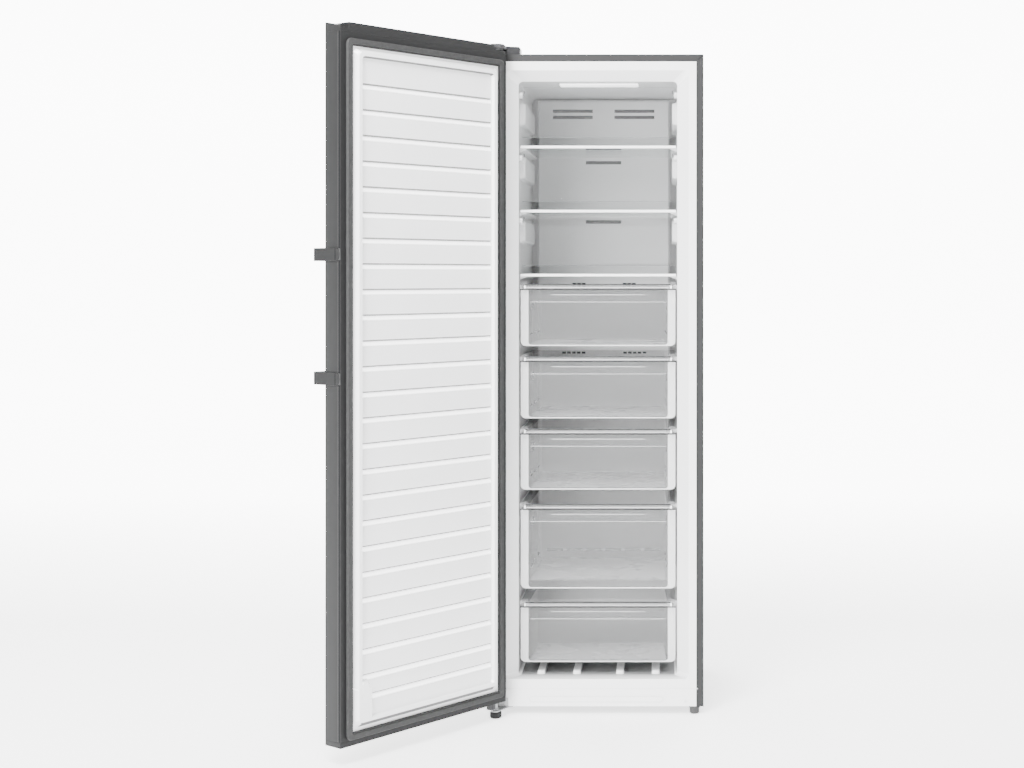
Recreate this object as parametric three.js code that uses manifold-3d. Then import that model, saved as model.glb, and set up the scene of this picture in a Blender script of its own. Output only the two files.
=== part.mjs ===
// Upright freezer, in millimetres: X to the right, Y to the back, Z up.
// Every piece is drawn in cabinet coordinates, with X from the centre line, Y from the front flange and
// Z from the floor.
// The whole group is moved at the end so that its origin is the middle of its footprint.
import * as THREE from "three";
import { mergeVertices } from "three/addons/utils/BufferGeometryUtils.js";
import Module from "manifold-3d";

const wasm = await Module();
wasm.setup();

// ---------------------------------------------------------------- sizes
const GAP = 0.3; // clearance between pieces that are cut or turned to each other
const CASE_HALF = 297.5;
const CASE_BOTTOM = 22;
const CASE_DEPTH = 580;
const SHEET = 1.2;
const FLANGE = 20; // return flange round the front of the case
const PANEL_INSET = 0.7; // the rear panels stop short of the case's sides

const SIDE_FRAME = 42; // from the side of the case to the mouth of the cavity
const TOP_FRAME = 45; // from the top of the case to the mouth
const SIDE_BEVEL = 31.5;
const TOP_BEVEL = 27.4;
const MOUTH_HALF = CASE_HALF - SIDE_FRAME;
const MOUTH_BOTTOM = 98;
const MOUTH_RADIUS = 14;
const CAVITY_HALF = MOUTH_HALF - SIDE_BEVEL;
const CAVITY_FLOOR = 101;
const CAVITY_FRONT = 35; // where the bevel ends
const REAR_FOAM = 57;
const CAVITY_BACK = CASE_DEPTH - REAR_FOAM;
const LINER_WALL = 1.8;
const LINER_BOTTOM = 71.6;

const MACHINE_DEPTH = 245; // compartment of the compressor, open at the back
const MACHINE_FRONT = CASE_DEPTH - MACHINE_DEPTH;
const MACHINE_TOP = 300;
const STEP_FOAM = 60; // foam between that compartment and the step of the cavity
const STEP_SLOPE = 65;
const STEP_FRONT = MACHINE_FRONT - STEP_FOAM;
const STEP_TOP = MACHINE_TOP + STEP_FOAM;
const FOAM_BOTTOM = 40;

const COVER_DEPTH = 58; // the air duct in front of the cavity's back
const COVER_FRONT = CAVITY_BACK - COVER_DEPTH;
const COVER_HALF = CAVITY_HALF - 20.5;

const SHELF_LEVELS = [1597, 1415, 1233.5]; // top faces of the glass
const GLASS = 4;
const SHELF_HALF = CAVITY_HALF - 3.5;
const SHELF_FRONT = 58;
const SHELF_BACK = COVER_FRONT - 10;

const FLAPS = [
  { bottom: 1620, top: 1763, pivot: 1741, pad: 1660 },
  { bottom: 1439, top: 1582, pivot: 1562, pad: 1507 },
  { bottom: 1257, top: 1404, pivot: 1384, pad: 1325 },
];
const PAD_HEIGHT = 62; // of the raised pads on the side walls
const FLAP_FRONT = 45;
const FLAP_THICK = 3;
const FLAP_HALF = CAVITY_HALF - 6;
const FLAP_ROOM = 14.6; // from the top flap to the ceiling

const CAVITY_CEILING = FLAPS[0].top + FLAP_ROOM;
const MOUTH_TOP = CAVITY_CEILING + TOP_BEVEL;
const CASE_TOP = MOUTH_TOP + TOP_FRAME;

const BIN_BACK = COVER_FRONT - 35;
const LOW_BIN_BACK = STEP_FRONT - 9;
const DRAWERS = [
  { bottom: 1028, top: 1190, back: BIN_BACK },
  { bottom: 823, top: 986, back: BIN_BACK },
  { bottom: 621, top: 781, back: BIN_BACK },
  { bottom: 341, top: 568, back: BIN_BACK },
  { bottom: 133, top: 292, back: LOW_BIN_BACK },
];
const DRAWER_FRONT = 48;
const DRAWER_FRONT_HALF = CAVITY_HALF - 3;
const DRAWER_RIM = 15; // band above the front plate
const BIN_HALF = CAVITY_HALF - 27;
const BIN_TAPER = 8;
const BIN_WALL = 2;
const BIN_RADIUS = 8;
const DRAWER_LIP = 4; // depth of the front's returned edge
const DRAWER_CORNER = 16;

const DOOR_HALF = CASE_HALF - 1;
const DOOR_BACK = -10.3; // the door's inner plane, shut
const DOOR_THICK = 60;
const DOOR_BOTTOM = 46.4;
const DOOR_TOP = CASE_TOP + 16.6;
const HINGE_X = -CASE_HALF + 16;
const HINGE_Y = -35.5;
const DOOR_OPEN = 128.4; // degrees, as photographed
const PIN_RADIUS = 4.5;
const PIN_ENTRY = 4; // how far the upper pin reaches below the top of the case

const GROOVE_TOP = DOOR_TOP - 152.6; // highest groove between the planks of the door's liner
const GROOVE_PITCH = 65;
const GROOVE_LAST = DOOR_BOTTOM + 121.6; // the lowest groove, closer than the pitch
const GROOVES = 1 + Math.floor((GROOVE_TOP - GROOVE_LAST) / GROOVE_PITCH);
const GROOVE_DEPTH = 5.4;
const GROOVE_HEIGHT = 12.5;

const HANDLE_LEVELS = [970, 1282.5]; // middles of the two brackets
const HANDLE_BRACKET = 33;
const HANDLE_REACH = 39;

const CORNER_STEPS = 4; // facets of a rounded corner
const ROUND_STEPS = 20; // facets of a turned piece

// ---------------------------------------------------------------- helpers

// A closed three.js geometry as a solid, turned outward if it came inside out.
function solid(geometry) {
  const bare = geometry.clone();
  bare.deleteAttribute("normal");
  bare.deleteAttribute("uv");
  const merged = mergeVertices(bare, 1e-3);
  const source = merged.index.array;
  const kept = [];
  for (let i = 0; i < source.length; i += 3) {
    const [a, b, c] = [source[i], source[i + 1], source[i + 2]];
    if (a !== b && b !== c && c !== a) {
      kept.push(a, b, c);
    }
  }
  const build = (triangles) =>
    new wasm.Manifold(
      new wasm.Mesh({
        numProp: 3,
        vertProperties: new Float32Array(merged.attributes.position.array),
        triVerts: new Uint32Array(triangles),
      }),
    );
  const made = build(kept);
  if (made.volume() >= 0) {
    return made;
  }
  for (let i = 0; i < kept.length; i += 3) {
    [kept[i + 1], kept[i + 2]] = [kept[i + 2], kept[i + 1]];
  }
  return build(kept);
}

// A block between two corners.
function box(x0, x1, y0, y1, z0, z1) {
  const geometry = new THREE.BoxGeometry(x1 - x0, y1 - y0, z1 - z0);
  geometry.translate((x0 + x1) / 2, (y0 + y1) / 2, (z0 + z1) / 2);
  return solid(geometry);
}

// A profile drawn out along an axis: (y, z) along x, (x, z) along y or (x, y) along z.
function prism(axis, from, to, points) {
  const flat = points.map(([u, v]) => (axis === "y" ? new THREE.Vector2(v, u) : new THREE.Vector2(u, v)));
  const options = { depth: to - from, bevelEnabled: false };
  const geometry = new THREE.ExtrudeGeometry(new THREE.Shape(flat), options);
  geometry.translate(0, 0, from);
  const turn = new THREE.Matrix4();
  if (axis === "x") {
    turn.set(0, 0, 1, 0, 1, 0, 0, 0, 0, 1, 0, 0, 0, 0, 0, 1);
  }
  if (axis === "y") {
    turn.set(0, 1, 0, 0, 0, 0, 1, 0, 1, 0, 0, 0, 0, 0, 0, 1);
  }
  geometry.applyMatrix4(turn);
  return solid(geometry);
}

// The outline of a rectangle with round corners, counter-clockwise from its lower right corner.
function roundRect(u0, u1, v0, v1, radius, steps = CORNER_STEPS) {
  const corners = [
    [u1 - radius, v0 + radius, -90],
    [u1 - radius, v1 - radius, 0],
    [u0 + radius, v1 - radius, 90],
    [u0 + radius, v0 + radius, 180],
  ];
  return corners.flatMap(([u, v, start]) =>
    Array.from({ length: steps + 1 }, (_, i) => {
      const angle = THREE.MathUtils.degToRad(start + (90 * i) / steps);
      return [u + radius * Math.cos(angle), v + radius * Math.sin(angle)];
    }),
  );
}

// A block on one side of the centre line, between two distances from it.
function sideBox(side, near, far, ...rest) {
  return box(Math.min(side * near, side * far), Math.max(side * near, side * far), ...rest);
}

// A solid through convex outlines of equal length, each {at, points} square to the axis.
function loft(axis, sections) {
  const place = {
    x: ([u, v], w) => [w, u, v],
    y: ([u, v], w) => [u, w, v],
    z: ([u, v], w) => [u, v, w],
  }[axis];
  const count = sections[0].points.length;
  const positions = sections.flatMap(({ at, points }) => points.flatMap((p) => place(p, at)));
  const index = [];
  for (let s = 0; s + 1 < sections.length; s += 1) {
    for (let i = 0; i < count; i += 1) {
      const a = s * count + i;
      const b = s * count + ((i + 1) % count);
      index.push(a, b, b + count, a, b + count, a + count);
    }
  }
  const last = (sections.length - 1) * count;
  for (let i = 1; i + 1 < count; i += 1) {
    index.push(0, i + 1, i, last, last + i, last + i + 1);
  }
  const geometry = new THREE.BufferGeometry();
  geometry.setAttribute("position", new THREE.Float32BufferAttribute(positions, 3));
  geometry.setIndex(index);
  return solid(geometry);
}

// A profile of [radius, height] points turned round an axis through a point.
function turned(axis, [x, y, z], profile, steps = ROUND_STEPS) {
  const points = profile.map(([r, h]) => new THREE.Vector2(r, h));
  const geometry = new THREE.LatheGeometry(points, steps);
  if (axis === "z") {
    geometry.rotateX(Math.PI / 2);
  }
  if (axis === "x") {
    geometry.rotateZ(-Math.PI / 2);
  }
  geometry.translate(x, y, z);
  return solid(geometry);
}

// A plain cylinder from one height to another along an axis through a point.
function rod(axis, [x, y, z], radius, from, to, steps = ROUND_STEPS) {
  return turned(axis, [x, y, z], [[0, from], [radius, from], [radius, to], [0, to]], steps);
}

// A round bar bent along a smooth path of points.
function bentRod(points, radius, steps, sides = 8) {
  const path = new THREE.CatmullRomCurve3(points.map((p) => new THREE.Vector3(...p)), false, "centripetal");
  const circle = Array.from({ length: sides }, (_, i) => {
    const angle = (2 * Math.PI * i) / sides;
    return new THREE.Vector2(radius * Math.cos(angle), radius * Math.sin(angle));
  });
  const options = { steps, extrudePath: path, bevelEnabled: false };
  return solid(new THREE.ExtrudeGeometry(new THREE.Shape(circle), options));
}

// Many solids joined to the first.
function join(first, ...rest) {
  return rest.flat().reduce((sum, next) => sum.add(next), first);
}

// Many solids cut from the first.
function cut(first, ...rest) {
  return rest.flat().reduce((sum, next) => sum.subtract(next), first);
}

function finish(color, roughness, metalness = 0) {
  return new THREE.MeshStandardMaterial({ color, roughness, metalness });
}

function clearFinish(color, roughness, opacity) {
  return new THREE.MeshStandardMaterial({ color, roughness, transparent: true, opacity });
}

const MATERIALS = {
  greySteel: finish(0x85878a, 0.45, 0.4),
  zincSteel: finish(0xb9bcc0, 0.4, 0.8),
  blackSteel: finish(0x1c1d1f, 0.5, 0.3),
  aluminium: finish(0xcfd2d5, 0.35, 0.9),
  copper: finish(0xb8734a, 0.35, 0.9),
  whitePlastic: finish(0xf1f2f3, 0.4),
  clearPlastic: clearFinish(0xdfe8ec, 0.15, 0.45),
  glass: clearFinish(0xd5e6e4, 0.05, 0.4),
  foam: finish(0xe9dcae, 0.95),
  rubber: finish(0x77797c, 0.8),
  blackPlastic: finish(0x232427, 0.6),
};

const freezer = new THREE.Group();
freezer.name = "upright_freezer";

// Adds one named piece to a group.
function piece(name, shape, material, parent = freezer) {
  const data = shape.getMesh();
  const geometry = new THREE.BufferGeometry();
  geometry.setAttribute("position", new THREE.Float32BufferAttribute(data.vertProperties, 3));
  geometry.setIndex(new THREE.BufferAttribute(data.triVerts, 1));
  geometry.computeVertexNormals();
  const mesh = new THREE.Mesh(geometry, material);
  mesh.name = name;
  parent.add(mesh);
}

// ---------------------------------------------------------------- cabinet shell

// The inside of the liner, grown by a distance on every side: bevelled mouth, cavity and rear step.
function cavity(grow, front) {
  const half = CAVITY_HALF + grow;
  const mouth = roundRect(
    -MOUTH_HALF - grow, MOUTH_HALF + grow, MOUTH_BOTTOM - grow, MOUTH_TOP + grow, MOUTH_RADIUS + grow,
  );
  const inside = roundRect(-half, half, CAVITY_FLOOR - grow, CAVITY_CEILING + grow, MOUTH_RADIUS - 2 + grow);
  const room = loft("y", [
    { at: front, points: mouth },
    { at: SHEET / 2, points: mouth },
    { at: CAVITY_FRONT, points: inside },
    { at: CAVITY_BACK + grow, points: inside },
  ]);
  const step = prism("x", -half - 5, half + 5, [
    [STEP_FRONT + grow, CAVITY_FLOOR - 20],
    [STEP_FRONT + grow, STEP_TOP - 90 - grow * 0.55],
    [STEP_FRONT + STEP_SLOPE + grow * 0.55, STEP_TOP - grow],
    [CAVITY_BACK + 20, STEP_TOP - grow],
    [CAVITY_BACK + 20, CAVITY_FLOOR - 20],
  ]);
  return room.subtract(step);
}

function outerCase() {
  const front = roundRect(-CASE_HALF, CASE_HALF, CASE_BOTTOM - 20, CASE_TOP, 3, 2);
  const outer = prism("y", 0, CASE_DEPTH, front);
  const inner = CASE_HALF - SHEET;
  const opening = CASE_HALF - FLANGE;
  const openingTop = CASE_TOP - FLANGE;
  const mitres = [-1, 1].map((side) =>
    prism("y", -0.1, 0.4, [
      [side * (opening - 1), openingTop - 0.7],
      [side * (CASE_HALF + 1), CASE_TOP + 1.3],
      [side * (CASE_HALF + 1), CASE_TOP + 0.5],
      [side * (opening - 0.2), openingTop - 0.7],
    ]),
  );
  return cut(
    outer,
    box(-CASE_HALF - 1, CASE_HALF + 1, -1, CASE_DEPTH + 1, CASE_BOTTOM - 30, CASE_BOTTOM),
    box(-inner, inner, SHEET, CASE_DEPTH + 1, CASE_BOTTOM - 1, CASE_TOP - SHEET),
    box(-opening, opening, -1, SHEET + 1, CASE_BOTTOM - 1, openingTop),
    mitres,
  );
}

function rearPanel() {
  const ribs = [-190, 0, 190].map((x) =>
    prism("z", MACHINE_TOP + 60, CASE_TOP - 60, [
      [x - 26, CASE_DEPTH + 1],
      [x + 26, CASE_DEPTH + 1],
      [x + 20, CASE_DEPTH + 4],
      [x - 20, CASE_DEPTH + 4],
    ]),
  );
  const half = CASE_HALF - PANEL_INSET;
  return join(box(-half, half, CASE_DEPTH, CASE_DEPTH + SHEET, MACHINE_TOP, CASE_TOP - 2), ribs);
}

// Holes through liner and foam for the defrost drain and the suction pipe.
const DRAIN = [0, CAVITY_BACK - 27];
const DRAIN_RADIUS = 8;
const PIPE_PASS = [13.5 - COVER_HALF, CAVITY_BACK - 27];
const SUCTION_RADIUS = 5;

function passages() {
  return [
    rod("z", [...DRAIN, 0], DRAIN_RADIUS + GAP, MACHINE_TOP - 5, STEP_TOP + 5),
    rod("z", [...PIPE_PASS, 0], SUCTION_RADIUS + GAP, MACHINE_TOP - 5, STEP_TOP + 5),
  ];
}

function insulationFoam() {
  const half = CASE_HALF - SHEET;
  const block = prism("x", -half, half, [
    [1.5, FOAM_BOTTOM],
    [MACHINE_FRONT, FOAM_BOTTOM],
    [MACHINE_FRONT, MACHINE_TOP - STEP_SLOPE],
    [MACHINE_FRONT + STEP_SLOPE, MACHINE_TOP],
    [CASE_DEPTH, MACHINE_TOP],
    [CASE_DEPTH, CASE_TOP - SHEET],
    [1.5, CASE_TOP - SHEET],
  ]);
  return cut(
    block,
    cavity(LINER_WALL + GAP, -1),
    box(-CASE_HALF, CASE_HALF, 0, 20, FOAM_BOTTOM - 1, LINER_BOTTOM),
    passages(),
  );
}

const LEDGE_FRONT = 74;
const LEDGE_BACK = SHELF_BACK - 15;
const LEDGE_INNER = CAVITY_HALF - 17;

// A moulded ledge on both side walls whose flat top is at a level.
function ledges(level, back = LEDGE_BACK) {
  return [-1, 1].map((side) =>
    prism("y", LEDGE_FRONT, back, [
      [side * (CAVITY_HALF + 1), level],
      [side * LEDGE_INNER, level],
      [side * (LEDGE_INNER - 1), level - 1],
      [side * (LEDGE_INNER - 1), level - 5],
      [side * (CAVITY_HALF + 1), level - 12],
    ]),
  );
}

// A raised pad with sloping edges on both side walls.
function pads(bottom, top) {
  return [-1, 1].map((side) =>
    loft("x", [
      {
        at: side * (CAVITY_HALF + 1),
        points: roundRect(81, LEDGE_BACK, bottom - 4, top + 4, 12, 2),
      },
      {
        at: side * (CAVITY_HALF - 12),
        points: roundRect(88, LEDGE_BACK - 7, bottom, top, 10, 2),
      },
      {
        at: side * (CAVITY_HALF - 14),
        points: roundRect(91, LEDGE_BACK - 10, bottom + 3, top - 3, 8, 2),
      },
    ]),
  );
}

const PIVOT_Y = 56.5;
const PIVOT_INNER = CAVITY_HALF - 9.5; // inner face of the pivot caps on the side walls
const PIVOT_RADIUS = 3;

function innerLiner() {
  const flange = CASE_HALF - FLANGE - GAP;
  const shell = join(
    cavity(LINER_WALL, SHEET / 2),
    box(-flange, flange, 0, 1.5, LINER_BOTTOM, CASE_TOP - FLANGE - GAP),
  );
  const floorRibs = [-161, -60, 62, 163].map((x) =>
    loft("z", [
      { at: CAVITY_FLOOR - 1, points: roundRect(x - 12, x + 12, 46, STEP_FRONT - 13, 6, 3) },
      { at: CAVITY_FLOOR + 9, points: roundRect(x - 10, x + 10, 49, STEP_FRONT - 16, 5, 3) },
    ]),
  );
  const caps = FLAPS.flatMap(({ pivot }) => [
    rod("x", [0, PIVOT_Y, pivot], 9, PIVOT_INNER, CAVITY_HALF + 1, 16),
    rod("x", [0, PIVOT_Y, pivot], 9, -CAVITY_HALF - 1, -PIVOT_INNER, 16),
  ]);
  const bores = FLAPS.flatMap(({ pivot }) => [
    rod("x", [0, PIVOT_Y, pivot], PIVOT_RADIUS + GAP, PIVOT_INNER - 1, PIVOT_INNER + 6, 16),
    rod("x", [0, PIVOT_Y, pivot], PIVOT_RADIUS + GAP, -PIVOT_INNER - 6, -PIVOT_INNER + 1, 16),
  ]);
  const shelfLedges = SHELF_LEVELS.flatMap((level) => ledges(level - GLASS));
  const drawerLedges = DRAWERS.flatMap(({ top, back }) => ledges(top + DRAWER_RIM - 3, back));
  const wallPads = FLAPS.flatMap(({ pad }) => pads(pad, pad + PAD_HEIGHT));
  return cut(
    join(cut(shell, cavity(0, -1)), floorRibs, caps, shelfLedges, drawerLedges, wallPads),
    bores,
    passages(),
  );
}

function frontRail() {
  const half = CASE_HALF - SHEET;
  return cut(
    join(
      box(-half, half, 2, 3.2, CASE_BOTTOM, LINER_BOTTOM - GAP),
      box(-half, half, 2, 30, CASE_BOTTOM, CASE_BOTTOM + 2),
    ),
    footThread(FOOT_RIGHT, 30),
  );
}

function kickPanel() {
  const half = CASE_HALF - FLANGE - GAP;
  const plate = join(
    box(-half, half, 0, 2, CASE_BOTTOM, LINER_BOTTOM),
    prism("y", -1.5, 0.5, roundRect(-192, 186, 33, 51, 8.9, 6)),
    rod("y", [half - 30.2, 0, 36], 5, -1.5, 0.5, 16),
  );
  return cut(plate, prism("y", -2, -0.6, roundRect(-189, 183, 36, 48, 5.9, 6)));
}

// ---------------------------------------------------------------- cooling parts behind the cover

const COVER_TOP = CAVITY_CEILING - 6.8;

// Slots through the cover: [x0, x1, middle height, slot height].
const VENTS = [
  [-156, -34, 1737, 8.5], [34, 156, 1737, 8.5],
  [-156, -34, 1718, 8.5], [34, 156, 1718, 8.5],
  [-54, 54, 1622, 9], [-54, 54, 1578, 9], [-54, 54, 1395, 9],
  ...[1204, 1195].flatMap((z) => [-90, -76, -62, 65, 79, 93].map((x) => [x - 5.5, x + 5.5, z, 5])),
  ...[-122, -107, -92, -77, -62, 66, 81, 96, 111, 126].map((x) => [x - 5, x + 5, 992, 5]),
  ...[-150, -90, -30, 30, 90, 150].map((x) => [x - 24, x + 24, 384, 6]),
];

function evaporatorCover() {
  const back = CAVITY_BACK;
  const outer = loft("y", [
    { at: COVER_FRONT, points: roundRect(-COVER_HALF + 5, COVER_HALF - 5, STEP_TOP, COVER_TOP - 5, 6) },
    { at: COVER_FRONT + 5, points: roundRect(-COVER_HALF, COVER_HALF, STEP_TOP, COVER_TOP, 10) },
    { at: back, points: roundRect(-COVER_HALF, COVER_HALF, STEP_TOP, COVER_TOP, 10) },
  ]);
  const room = box(-COVER_HALF + 3, COVER_HALF - 3, COVER_FRONT + 3, back + 1, STEP_TOP - 1, COVER_TOP - 12);
  const slots = VENTS.map(([x0, x1, z, height]) => {
    const outline = roundRect(x0, x1, z - height / 2, z + height / 2, height / 2 - 0.5, 1);
    return prism("y", COVER_FRONT - 1, COVER_FRONT + 4, outline);
  });
  const frames = [-127, 61].map((x) =>
    prism("y", COVER_FRONT - 1, COVER_FRONT + 1, roundRect(x, x + 70, 998, 1012, 2, 1)),
  );
  return cut(outer, room, slots, frames);
}

const COIL_Y = CAVITY_BACK - 26;
const COIL_HALF = COVER_HALF - 31.5; // to the end plates
const COIL_LEVELS = [460, 520, 580];

function evaporator() {
  const pitch = (COIL_HALF - 28) / 4;
  const fins = Array.from({ length: 9 }, (_, i) => pitch * (i - 4)).map((x) =>
    box(x - 0.6, x + 0.6, COIL_Y - 19, COIL_Y + 19, 430, 610),
  );
  const ends = [-COIL_HALF, COIL_HALF].map((x) =>
    box(x - 1, x + 1, COIL_Y - 23, COIL_Y + 21, STEP_TOP, 616),
  );
  const reach = COIL_HALF + 12;
  const tubes = COIL_LEVELS.map((z) => rod("x", [0, COIL_Y, z], 4.5, -reach, reach, 4));
  const bends = COIL_LEVELS.slice(1).map((z, i) => {
    const x = i % 2 === 0 ? reach - 2 : 2 - reach;
    return box(x - 3.5, x + 3.5, COIL_Y - 3.5, COIL_Y + 3.5, z - 60, z);
  });
  return join(ends[0], tubes, bends, ends[1], fins);
}

function defrostHeater() {
  const half = COIL_HALF - 22;
  const y = COIL_Y - 7;
  const route = [
    [-half, y, STEP_TOP], [-half, y, 392], [10 - half, y, 404], [0, y, 406],
    [half - 10, y, 404], [half, y, 392], [half, y, STEP_TOP],
  ];
  return bentRod(route, 3.5, 22, 6).intersect(box(-half - 10, half + 10, y - 10, y + 10, STEP_TOP, 420));
}

const FAN_Z = CAVITY_CEILING - 122.6;
const FAN_Y = CAVITY_BACK - 41; // middle of the blade and front of its housing
const FAN_RADIUS = 50;

function fanHousing() {
  const centre = [0, 0, FAN_Z];
  const [front, back] = [FAN_Y + 14, FAN_Y + 18];
  const plate = cut(
    box(-66, 66, FAN_Y, FAN_Y + 12, FAN_Z - 66, FAN_Z + 66),
    rod("y", centre, FAN_RADIUS + 5, FAN_Y - 2, FAN_Y + 14, 28),
  );
  const spokes = [30, 150, 270].map((degrees) => {
    const spoke = box(22, FAN_RADIUS + 8, front, back, -4, 4).rotate([0, degrees, 0]);
    return spoke.translate([0, 0, FAN_Z]);
  });
  const tube = (outer, inner, start, steps) =>
    cut(rod("y", centre, outer, start, back, steps), rod("y", centre, inner, start - 1, back + 1, steps));
  const ring = tube(62, FAN_RADIUS + 5, front - 2, 28);
  const seat = tube(26, 20 + GAP, front, 20);
  const posts = [[-58, -58], [58, -58], [-58, 58], [58, 58]].map(([x, z]) =>
    box(x - 6, x + 6, FAN_Y + 12, CAVITY_BACK, FAN_Z + z - 6, FAN_Z + z + 6),
  );
  return join(plate, ring, spokes, seat, posts);
}

function fanMotor() {
  return turned("y", [0, FAN_Y, FAN_Z], [
    [0, -4], [2.5, -4], [2.5, 13], [20, 13], [20, 19], [24, 19], [24, 34], [18, 37], [0, 37],
  ]);
}

function fanBlade() {
  const hub = cut(
    turned("y", [0, FAN_Y, FAN_Z], [[0, -8], [13, -8], [15, -5], [15, 8], [0, 8]]),
    rod("y", [0, FAN_Y, FAN_Z], 2.5 + GAP, -5, 10, 12),
  );
  const section = (at, half) => {
    const rise = 0.35 * half;
    return {
      at,
      points: [
        [FAN_Y - rise - 0.9, -half + 0.3], [FAN_Y - rise + 0.9, -half - 0.3],
        [FAN_Y + rise + 0.9, half - 0.3], [FAN_Y + rise - 0.9, half + 0.3],
      ],
    };
  };
  const blades = Array.from({ length: 5 }, (_, i) => {
    const blade = loft("x", [section(12, 8), section(FAN_RADIUS, 17)]);
    return blade.rotate([0, 72 * i, 0]).translate([0, 0, FAN_Z]);
  });
  return join(hub, blades);
}

// ---------------------------------------------------------------- base and machine compartment

const ROLLER_X = CASE_HALF - 47.5;
const ROLLER_Y = CASE_DEPTH - 40;
const ROLLER_RADIUS = 15;
const AXLE_RADIUS = 3;
const PAN_TOP = FOAM_BOTTOM;

function basePan() {
  const half = CASE_HALF - SHEET;
  const sheet = box(-half, half, 3.2, CASE_DEPTH, PAN_TOP - SHEET, PAN_TOP);
  const sides = [-1, 1].map((side) =>
    sideBox(side, half - SHEET, half, 32, CASE_DEPTH, CASE_BOTTOM, PAN_TOP),
  );
  const cheeks = [-1, 1].flatMap((side) =>
    [-9.5, 8].map((x) =>
      prism("x", side * ROLLER_X + x, side * ROLLER_X + x + 1.5, [
        [ROLLER_Y - 22, PAN_TOP - 0.5],
        [ROLLER_Y - 8, ROLLER_RADIUS - 7],
        [ROLLER_Y + 8, ROLLER_RADIUS - 7],
        [ROLLER_Y + 22, PAN_TOP - 0.5],
      ]),
    ),
  );
  const axles = [-1, 1].map((side) =>
    rod("x", [side * ROLLER_X, ROLLER_Y, ROLLER_RADIUS], AXLE_RADIUS, -9, 9, 12),
  );
  return join(sheet, sides, cheeks, axles);
}

function roller(side) {
  const centre = [side * ROLLER_X, ROLLER_Y, ROLLER_RADIUS];
  const [rim, radius] = [ROLLER_RADIUS - 1.5, ROLLER_RADIUS];
  const section = [[0, -6], [rim, -6], [radius, -4.5], [radius, 4.5], [rim, 6], [0, 6]];
  const wheel = turned("x", centre, section, 16);
  return wheel.subtract(rod("x", centre, AXLE_RADIUS + GAP, -7, 7, 12));
}

const FOOT_RIGHT = [CASE_HALF - 25.5, 14];
const THREAD_RADIUS = 4;

function footThread([x, y], top) {
  return rod("z", [x, y, 0], THREAD_RADIUS + GAP, 10, top, 12);
}

function footRight() {
  return turned("z", [...FOOT_RIGHT, 0], [
    [0, 0], [11, 0], [13.5, 3], [13.5, 16], [16, 17], [16, 20], [10, 21.5], [THREAD_RADIUS, 21.5],
    [THREAD_RADIUS, 29], [0, 29],
  ], 16);
}

function footLeft() {
  return turned("z", [HINGE_X, HINGE_Y, 0], [
    [0, 0], [13.5, 0], [16.5, 3.5], [16.5, 15], [14, 18.5], [THREAD_RADIUS, 18.5], [THREAD_RADIUS, 23],
    [0, 23],
  ]);
}

const COMPRESSOR = [100, CASE_DEPTH - 125];
const CAN_RADIUS = 81;

function compressor() {
  const [x, y] = COMPRESSOR;
  const can = turned("z", [x, y, 0], [
    [0, 50], [50, 50], [72, 62], [CAN_RADIUS - 2, 82], [CAN_RADIUS - 2, 124], [CAN_RADIUS, 126],
    [CAN_RADIUS, 132], [74, 172], [60, 196], [38, 205], [0, 205],
  ], 24);
  const plate = prism("z", 48, 54, roundRect(x - 98, x + 98, y - 62, y + 62, 12, 2));
  const grommets = [[-84, -48], [84, -48], [-84, 48], [84, 48]].map(([dx, dy]) =>
    turned("z", [x + dx, y + dy, PAN_TOP], [[0, 0], [11, 0], [9, 6], [11, 8], [11, 16], [0, 18]], 8),
  );
  return join(can, plate, grommets);
}

function relayBox() {
  const [x, y] = COMPRESSOR;
  const body = loft("x", [
    { at: x - 122, points: roundRect(y - 24, y + 24, 96, 150, 5, 2) },
    { at: x - 117, points: roundRect(y - 27, y + 27, 92, 154, 6, 2) },
    { at: x - 70, points: roundRect(y - 27, y + 27, 92, 154, 6, 2) },
  ]).subtract(compressorHollow());
  const gland = turned("y", [x - 102, y, 108], [[0, 26], [7, 26], [7, 33], [5, 38], [0, 38]], 12);
  return join(body, gland);
}

// A dish that sits on the compressor and takes the water from the drain.
function evaporationTray() {
  const y = COMPRESSOR[1];
  const outer = loft("z", [
    { at: 205, points: roundRect(-26, 186, y - 71, y + 71, 10, 2) },
    { at: 228, points: roundRect(-30, 190, y - 75, y + 75, 12, 2) },
  ]);
  const inner = loft("z", [
    { at: 207, points: roundRect(-24, 184, y - 69, y + 69, 9, 2) },
    { at: 229, points: roundRect(-28, 188, y - 73, y + 73, 11, 2) },
  ]);
  return outer.subtract(inner);
}

function drainTube() {
  const collar = [...DRAIN, STEP_TOP];
  const length = STEP_TOP - 216;
  const outer = [[0, -length], [DRAIN_RADIUS, -length], [DRAIN_RADIUS, 0], [13, 0], [14, 3], [0, 3]];
  const bore = [[0, -length - 1], [6, -length - 1], [6, 0], [11, 4], [0, 4]];
  return cut(turned("z", collar, outer, 12), turned("z", collar, bore, 12));
}

function suctionPipe() {
  const [px, py] = PIPE_PASS;
  const [x, y] = COMPRESSOR;
  const falling = rod("z", [px, py, 0], SUCTION_RADIUS, 270, STEP_TOP + 12, 8);
  const run = bentRod([
    [px, py, 275], [px, py, 240], [px + 8, py + 6, 190], [-120, py + 24, 176], [-40, py + 40, 172],
    [x - 60, y + 90, 160], [x - 46, y + 75, 120], [x - 38, y + 66, 112],
  ], SUCTION_RADIUS, 24, 8);
  return join(falling, run.subtract(compressorHollow()));
}

function dischargePipe() {
  const [x, y] = COMPRESSOR;
  return bentRod([
    [x + 70, y, 100], [x + 104, y, 102], [x + 120, y + 6, 130], [x + 122, y + 20, 200],
    [x + 122, y + 22, 250],
    [x + 122, y + 22, MACHINE_TOP - GAP],
  ], 3.5, 18, 6).subtract(compressorHollow());
}

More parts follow.
